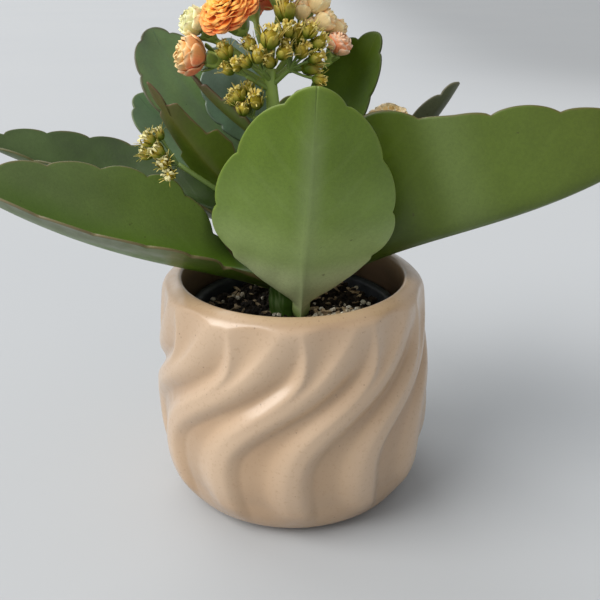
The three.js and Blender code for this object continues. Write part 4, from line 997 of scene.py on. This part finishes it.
# --- blooms
# the layers of each form from the lowest up: petals, then root, bend and tip as (radius, height), width, cup
FORMS = {
    "open": [
        (9, (1.9, 0.5), (6.4, 2.6), (10.4, 1.5), 8, 0.08),
        (9, (1.9, 0.9), (6.2, 3.4), (10.3, 2.2), 7.8, 0.1),
        (9, (1.8, 1.3), (5.9, 4.1), (9.9, 3), 7.4, 0.12), (9, (1.7, 1.7), (5.5, 4.8), (9.4, 3.8), 7, 0.14),
        (9, (1.6, 2.1), (5, 5.3), (8.7, 4.6), 6.4, 0.16), (8, (1.5, 2.6), (4.4, 5.8), (7.7, 5.4), 6, 0.18),
        (8, (1.3, 3), (3.6, 6.2), (6.6, 6), 4.8, 0.2), (8, (1.1, 3.4), (2.8, 6.4), (5.2, 6.7), 4.2, 0.24),
        (7, (0.9, 3.8), (2, 6.4), (3.7, 7.1), 3.6, 0.3), (6, (0.6, 4), (1.2, 6.2), (2.2, 7.3), 2.8, 0.4),
        (4, (0.3, 4.2), (0.6, 6), (0.8, 7.2), 1.8, 0.5),
    ],
    "small": [
        (8, (1.9, 0.5), (5.8, 2.6), (9.9, 0.9), 6.6, 0.1),
        (8, (1.8, 1.1), (5.4, 3.8), (9.2, 2.5), 6.2, 0.12),
        (8, (1.6, 1.8), (4.8, 4.8), (8.2, 4.2), 5.8, 0.16),
        (7, (1.4, 2.4), (3.8, 5.6), (6.8, 5.5), 5.2, 0.2), (7, (1.1, 3), (2.9, 6.1), (5.1, 6.4), 4.4, 0.26),
        (6, (0.8, 3.5), (2, 6.2), (3.4, 6.9), 3.6, 0.32), (5, (0.5, 3.8), (1.1, 6), (1.8, 7), 2.6, 0.4),
    ],
    "loose": [
        (7, (1.9, 0.5), (5.8, 2.8), (9.8, 2), 8.6, 0.12), (6, (1.7, 1.5), (4.8, 4.8), (7.6, 5), 7.6, 0.2),
        (5, (1.2, 2.6), (3, 6), (4.5, 6.6), 5.6, 0.3), (4, (0.6, 3.6), (1.2, 6.2), (2, 7), 3.4, 0.45),
    ],
    "half": [
        (4, (1.9, 0.2), (6.4, 2.4), (5.6, 5.6), 7, 0.34), (5, (1.8, 0.4), (6.2, 3.4), (5, 7), 6.2, 0.36),
        (5, (1.6, 0.8), (5.7, 4.2), (4.3, 7.9), 5.8, 0.4), (5, (1.4, 1.2), (4.9, 4.9), (3.4, 8.5), 5, 0.44),
        (5, (1.1, 1.8), (3.8, 5.6), (2.5, 8.8), 4.2, 0.5), (4, (0.8, 2.4), (2.4, 6.2), (1.5, 9), 3.2, 0.6),
    ],
}
BLOOM_PAINTS = {
    "bloom_side": ("petal_pale", PEACH), "bloom_half_left": ("petal_pale", ROSE),
    "bloom_half_pale": ("petal_pale", CREAM), "bloom_half_right": ("petal_orange", BLUSH),
}


def make_bloom(name, bloom):
    """Petals in layers, each layer turned against the one below it and no two petals quite alike."""
    draw = random.Random(name)
    form, size = FORMS[bloom["form"]], bloom["size"]
    frill = (0.3 if bloom["form"] == "half" else 0.42) * size
    base = (*axes_of(bloom["axis"]), np.array(bloom["at"], float))
    shape = Shape(*PETAL)
    for level, (count, root, bend, tip, width, cup) in enumerate(form):
        start = 0.5 * level * 2 * math.pi / count + draw.uniform(-0.25, 0.25)
        for k in range(count):
            turn = start + 2 * math.pi * k / count + draw.uniform(-0.09, 0.09)
            long, droop = draw.uniform(0.93, 1.03), draw.uniform(-0.35, 0.35)
            line = size * np.array([root, bend, (tip[0] * long, tip[1] + droop)])
            petal(shape, base, turn, line, width * size * draw.uniform(0.9, 1.08), cup,
                  twist=draw.uniform(-0.14, 0.14), layer=level / (len(form) - 1), thick=0.2, frill=frill,
                  phase=draw.uniform(0, 6.3))
    slot, paint = BLOOM_PAINTS.get(name, ("petal_orange", ORANGE))
    shape.make(f"{name}_petals", slot, paint, [name])


# --- sprays of buds
GOLDEN = 2.4  # the angle in radians from one thread or petal end to the next


def bud(shape, centre, axis, radius, ripe):
    """An egg-shaped bud with four petals wound into a point."""
    u, v, w = axes_of(axis)
    angles = around(24)
    rings, seams = [], []
    heights = np.linspace(0, 1, 12)
    for q in heights:
        reach = radius * 0.9 * (math.sin(math.pi * (0.06 + 0.9 * q) ** 0.85) ** 0.75)
        z = radius * (-1.1 + 2.35 * q)
        seam = np.abs(np.sin(angles * 2 + 2.4 * q))
        fold = reach * (1 - 0.10 * rise(0.3, 1, q) * (1 - seam**0.5))
        rings.append(centre + np.outer(fold * np.cos(angles), u) + np.outer(fold * np.sin(angles), v) + z * w)
        seams.append(seam + (1 - rise(0.3, 0.5, q)))
    shape.rings(rings, along=heights[:, None], layer=ripe, across=seams, upper=1.0)


def dress_bud(heads, tip, lean, radius, full, draw):
    """The sepals of a bud, the thin curled threads round it and its first yellow petal ends. full: how
    many of these there are, where 1 is usual."""
    base = (*axes_of(lean), tip - lean * radius * 1.15)
    for k in range(4):
        flare = draw.uniform(0.8, 1.5)
        line = radius * np.array([(0.35, 0), (1.35, 0.5), (1.05 * flare, 1.9)])
        petal(heads, base, k * math.pi / 2 + 0.4, line, 1.25 * radius, 0.34, 0.2, layer=SEPAL, square=0.8,
              rows=6)
    for k in range(round(11 * full)):
        flare = draw.uniform(1.2, 2.0 + 0.4 * full)
        line = radius * np.array([(0.7, 0.6), (1.25, 2.0), (flare, draw.uniform(1.7, 3.1))])
        petal(heads, base, k * GOLDEN + draw.uniform(0, 0.8), line, 0.2 * radius, 0, 0.14,
              layer=THREAD if k % 3 else SEPAL, rows=6)
    for k in range(round(9 * full)):
        reach = draw.uniform(0.7, 1.2) * (1 + 0.5 * (full - 1))
        high = draw.uniform(2.7 - 0.7 * full, 2.6)
        line = radius * np.array([(0.25, 1.7), (0.7 * reach, 3.1), (reach, high)])
        petal(heads, base, k * GOLDEN + draw.uniform(0, 0.4), line, 0.42 * radius, 0.2, 0.16,
              layer=PALE_CURL if full > 1 else CURL, rows=7, twist=draw.uniform(-0.6, 0.6))


def wrap_bud(heads, tip, lean, radius, draw):
    """A plump bud of overlapping petals."""
    base = (*axes_of(lean), tip - lean * radius * 1.1)
    layers = [(4, 1.7, 1.8), (4, 1.5, 2.1), (4, 1.25, 2.35), (3, 0.9, 2.4)]  # petals, width and height
    for level, (count, wide, high) in enumerate(layers):
        line = radius * np.array([(0.3, 0.1 * level), (1.42 - 0.2 * level, 0.9), (1.0 - 0.22 * level, high)])
        for k in range(count):
            turn = 2 * math.pi * k / count + level + draw.uniform(-0.15, 0.15)
            petal(heads, base, turn, line, 1.1 * wide * radius, 0.4, 0.2, layer=0.25 * level, square=0.6,
                  frill=0.1 * radius, rows=7, phase=draw.uniform(0, 6.3))


def make_spray(name, seat, way, hub, ripe, buds):
    """A stalk, and from its hub a thinner stalk with a dressed bud to each of the given places."""
    draw = random.Random(name)
    hub = np.array(hub, float)
    stalks, heads = Shape("high"), Shape(*PETAL)
    rings = tube_rings(smooth_path([stem_seat(*seat, -0.6), *way, hub], 14), np.linspace(0.95, 0.8, 14), 10)
    stalks.rings(rings, high=0.6 * rise(105, 145, rings[..., 2]))
    peach, full = ripe > 0.9, 1.7 if ripe > 0.7 else 1
    radii = np.linspace(0.5, 0.4, 10) + 0.25 * rise(0.7, 1, np.linspace(0, 1, 10))  # wider under the bud
    for x, y, z, radius in buds:
        tip = np.array((x, y, z), float)
        out = unit(tip - hub)
        bow = np.array([draw.uniform(-1, 1) for _ in range(3)]) * 0.35
        middle = (hub + tip) / 2 + bow + np.array([0, 0, -0.25])
        path = smooth_path([hub - out * 0.4, middle, tip - out * radius * 0.9], 10)
        lean = unit(path[-1] - path[-2])
        rings = tube_rings(path, radii, 8)
        stalks.rings(rings, high=0.1 + 0.35 * rise(120, 150, rings[..., 2]))
        if peach:
            wrap_bud(heads, tip, lean, radius, draw)
        else:
            own = min(1, max(0, ripe + draw.uniform(-0.35, 0.35)))
            bud(heads, tip, lean, radius * (0.8 if full > 1 else 1), own)
            dress_bud(heads, tip, lean, radius, full, draw)
    stalks.make(f"{name}_stalks", "plant_stem", STALK)
    slot, paint = ("petal_pale", SHELL) if peach else ("bud", BUD)
    heads.make(f"{name}_buds", slot, paint, [name])


# --- the whole plant
make_pot()
make_nursery_pot()
make_mix()
make_stem()
for leaf_name, leaf_facts in LEAVES.items():
    make_leaf(leaf_name, USUAL | leaf_facts)
for bloom_name, bloom_facts in BLOOMS.items():
    make_bloom(bloom_name, bloom_facts)
for spray_name, spray_facts in SPRAYS.items():
    make_spray(spray_name, *spray_facts)


# --- floor, light and camera
def make_floor():
    mesh = bpy.data.meshes.new("floor")
    mesh.from_pydata([(-6, -6, 0), (6, -6, 0), (6, 6, 0), (-6, 6, 0)], [], [(0, 1, 2, 3)])
    floor = bpy.data.objects.new("floor", mesh)
    bpy.context.collection.objects.link(floor)
    p = Paint("floor_paper", Roughness=0.75, Specular_IOR_Level=0.2)
    base = p.mix((202, 205, 208), (208, 210, 212), p.noise(3, 2))
    far = p.times(p.span(p.place(0), -0.1, 0.65), p.span(p.place(1), 0.3, 1.5))
    base = p.tone(base, p.span(far, 0, 1, 1.0, 0.66))  # painted shade: the floor darkens to the right and behind, where the light falls off
    mesh.materials.append(p.finish(base))


def make_sun(name, toward, spread, power, tint):
    """A distant soft lamp: toward points from the plant to it, and spread is its width in degrees."""
    light = bpy.data.lights.new(name, "SUN")
    light.angle = spread * DEGREE
    light.energy = power
    light.color = tint
    lamp = bpy.data.objects.new(name, light)
    lamp.rotation_euler = Vector(toward).to_track_quat("Z", "Y").to_euler()
    bpy.context.collection.objects.link(lamp)


def make_world(tint, left, right):
    """Soft light from all round. left, right: its strength on either side."""
    world = bpy.data.worlds.new("studio")
    world.use_nodes = True
    nodes, link = world.node_tree.nodes, world.node_tree.links.new
    nodes["Background"].inputs["Color"].default_value = tint
    way, parts = nodes.new("ShaderNodeTexCoord"), nodes.new("ShaderNodeSeparateXYZ")
    fade = nodes.new("ShaderNodeMapRange")
    for socket, number in zip(fade.inputs[1:5], (-1, 1, left, right)):
        socket.default_value = number
    link(way.outputs["Generated"], parts.inputs[0])
    link(parts.outputs[0], fade.inputs[0])
    link(fade.outputs[0], nodes["Background"].inputs["Strength"])
    bpy.context.scene.world = world


def make_camera(place, pitch, yaw, lens):
    """place: in metres. pitch: degrees down from level. yaw: degrees to the left. lens: in mm."""
    data = bpy.data.cameras.new("camera")
    data.lens = lens
    data.sensor_width = 36
    data.clip_start, data.clip_end = 0.01, 40
    camera = bpy.data.objects.new("camera", data)
    camera.location = place
    camera.rotation_euler = ((90 - pitch) * DEGREE, 0, yaw * DEGREE)
    bpy.context.collection.objects.link(camera)
    bpy.context.scene.camera = camera


make_floor()
make_sun("window", toward=(-1.0, -0.4, 0.95), spread=48, power=2.62, tint=(1.0, 0.985, 0.96))
make_sun("behind", toward=(-0.45, 0.75, 0.8), spread=45, power=0.9, tint=(0.97, 0.985, 1.0))
make_world(tint=(0.86, 0.88, 0.90, 1), left=0.84, right=0.44)
bpy.context.scene.view_settings.view_transform = "Standard"
make_camera(place=(0, -0.2818, 0.1953), pitch=23.2, yaw=-0.53, lens=48.6)
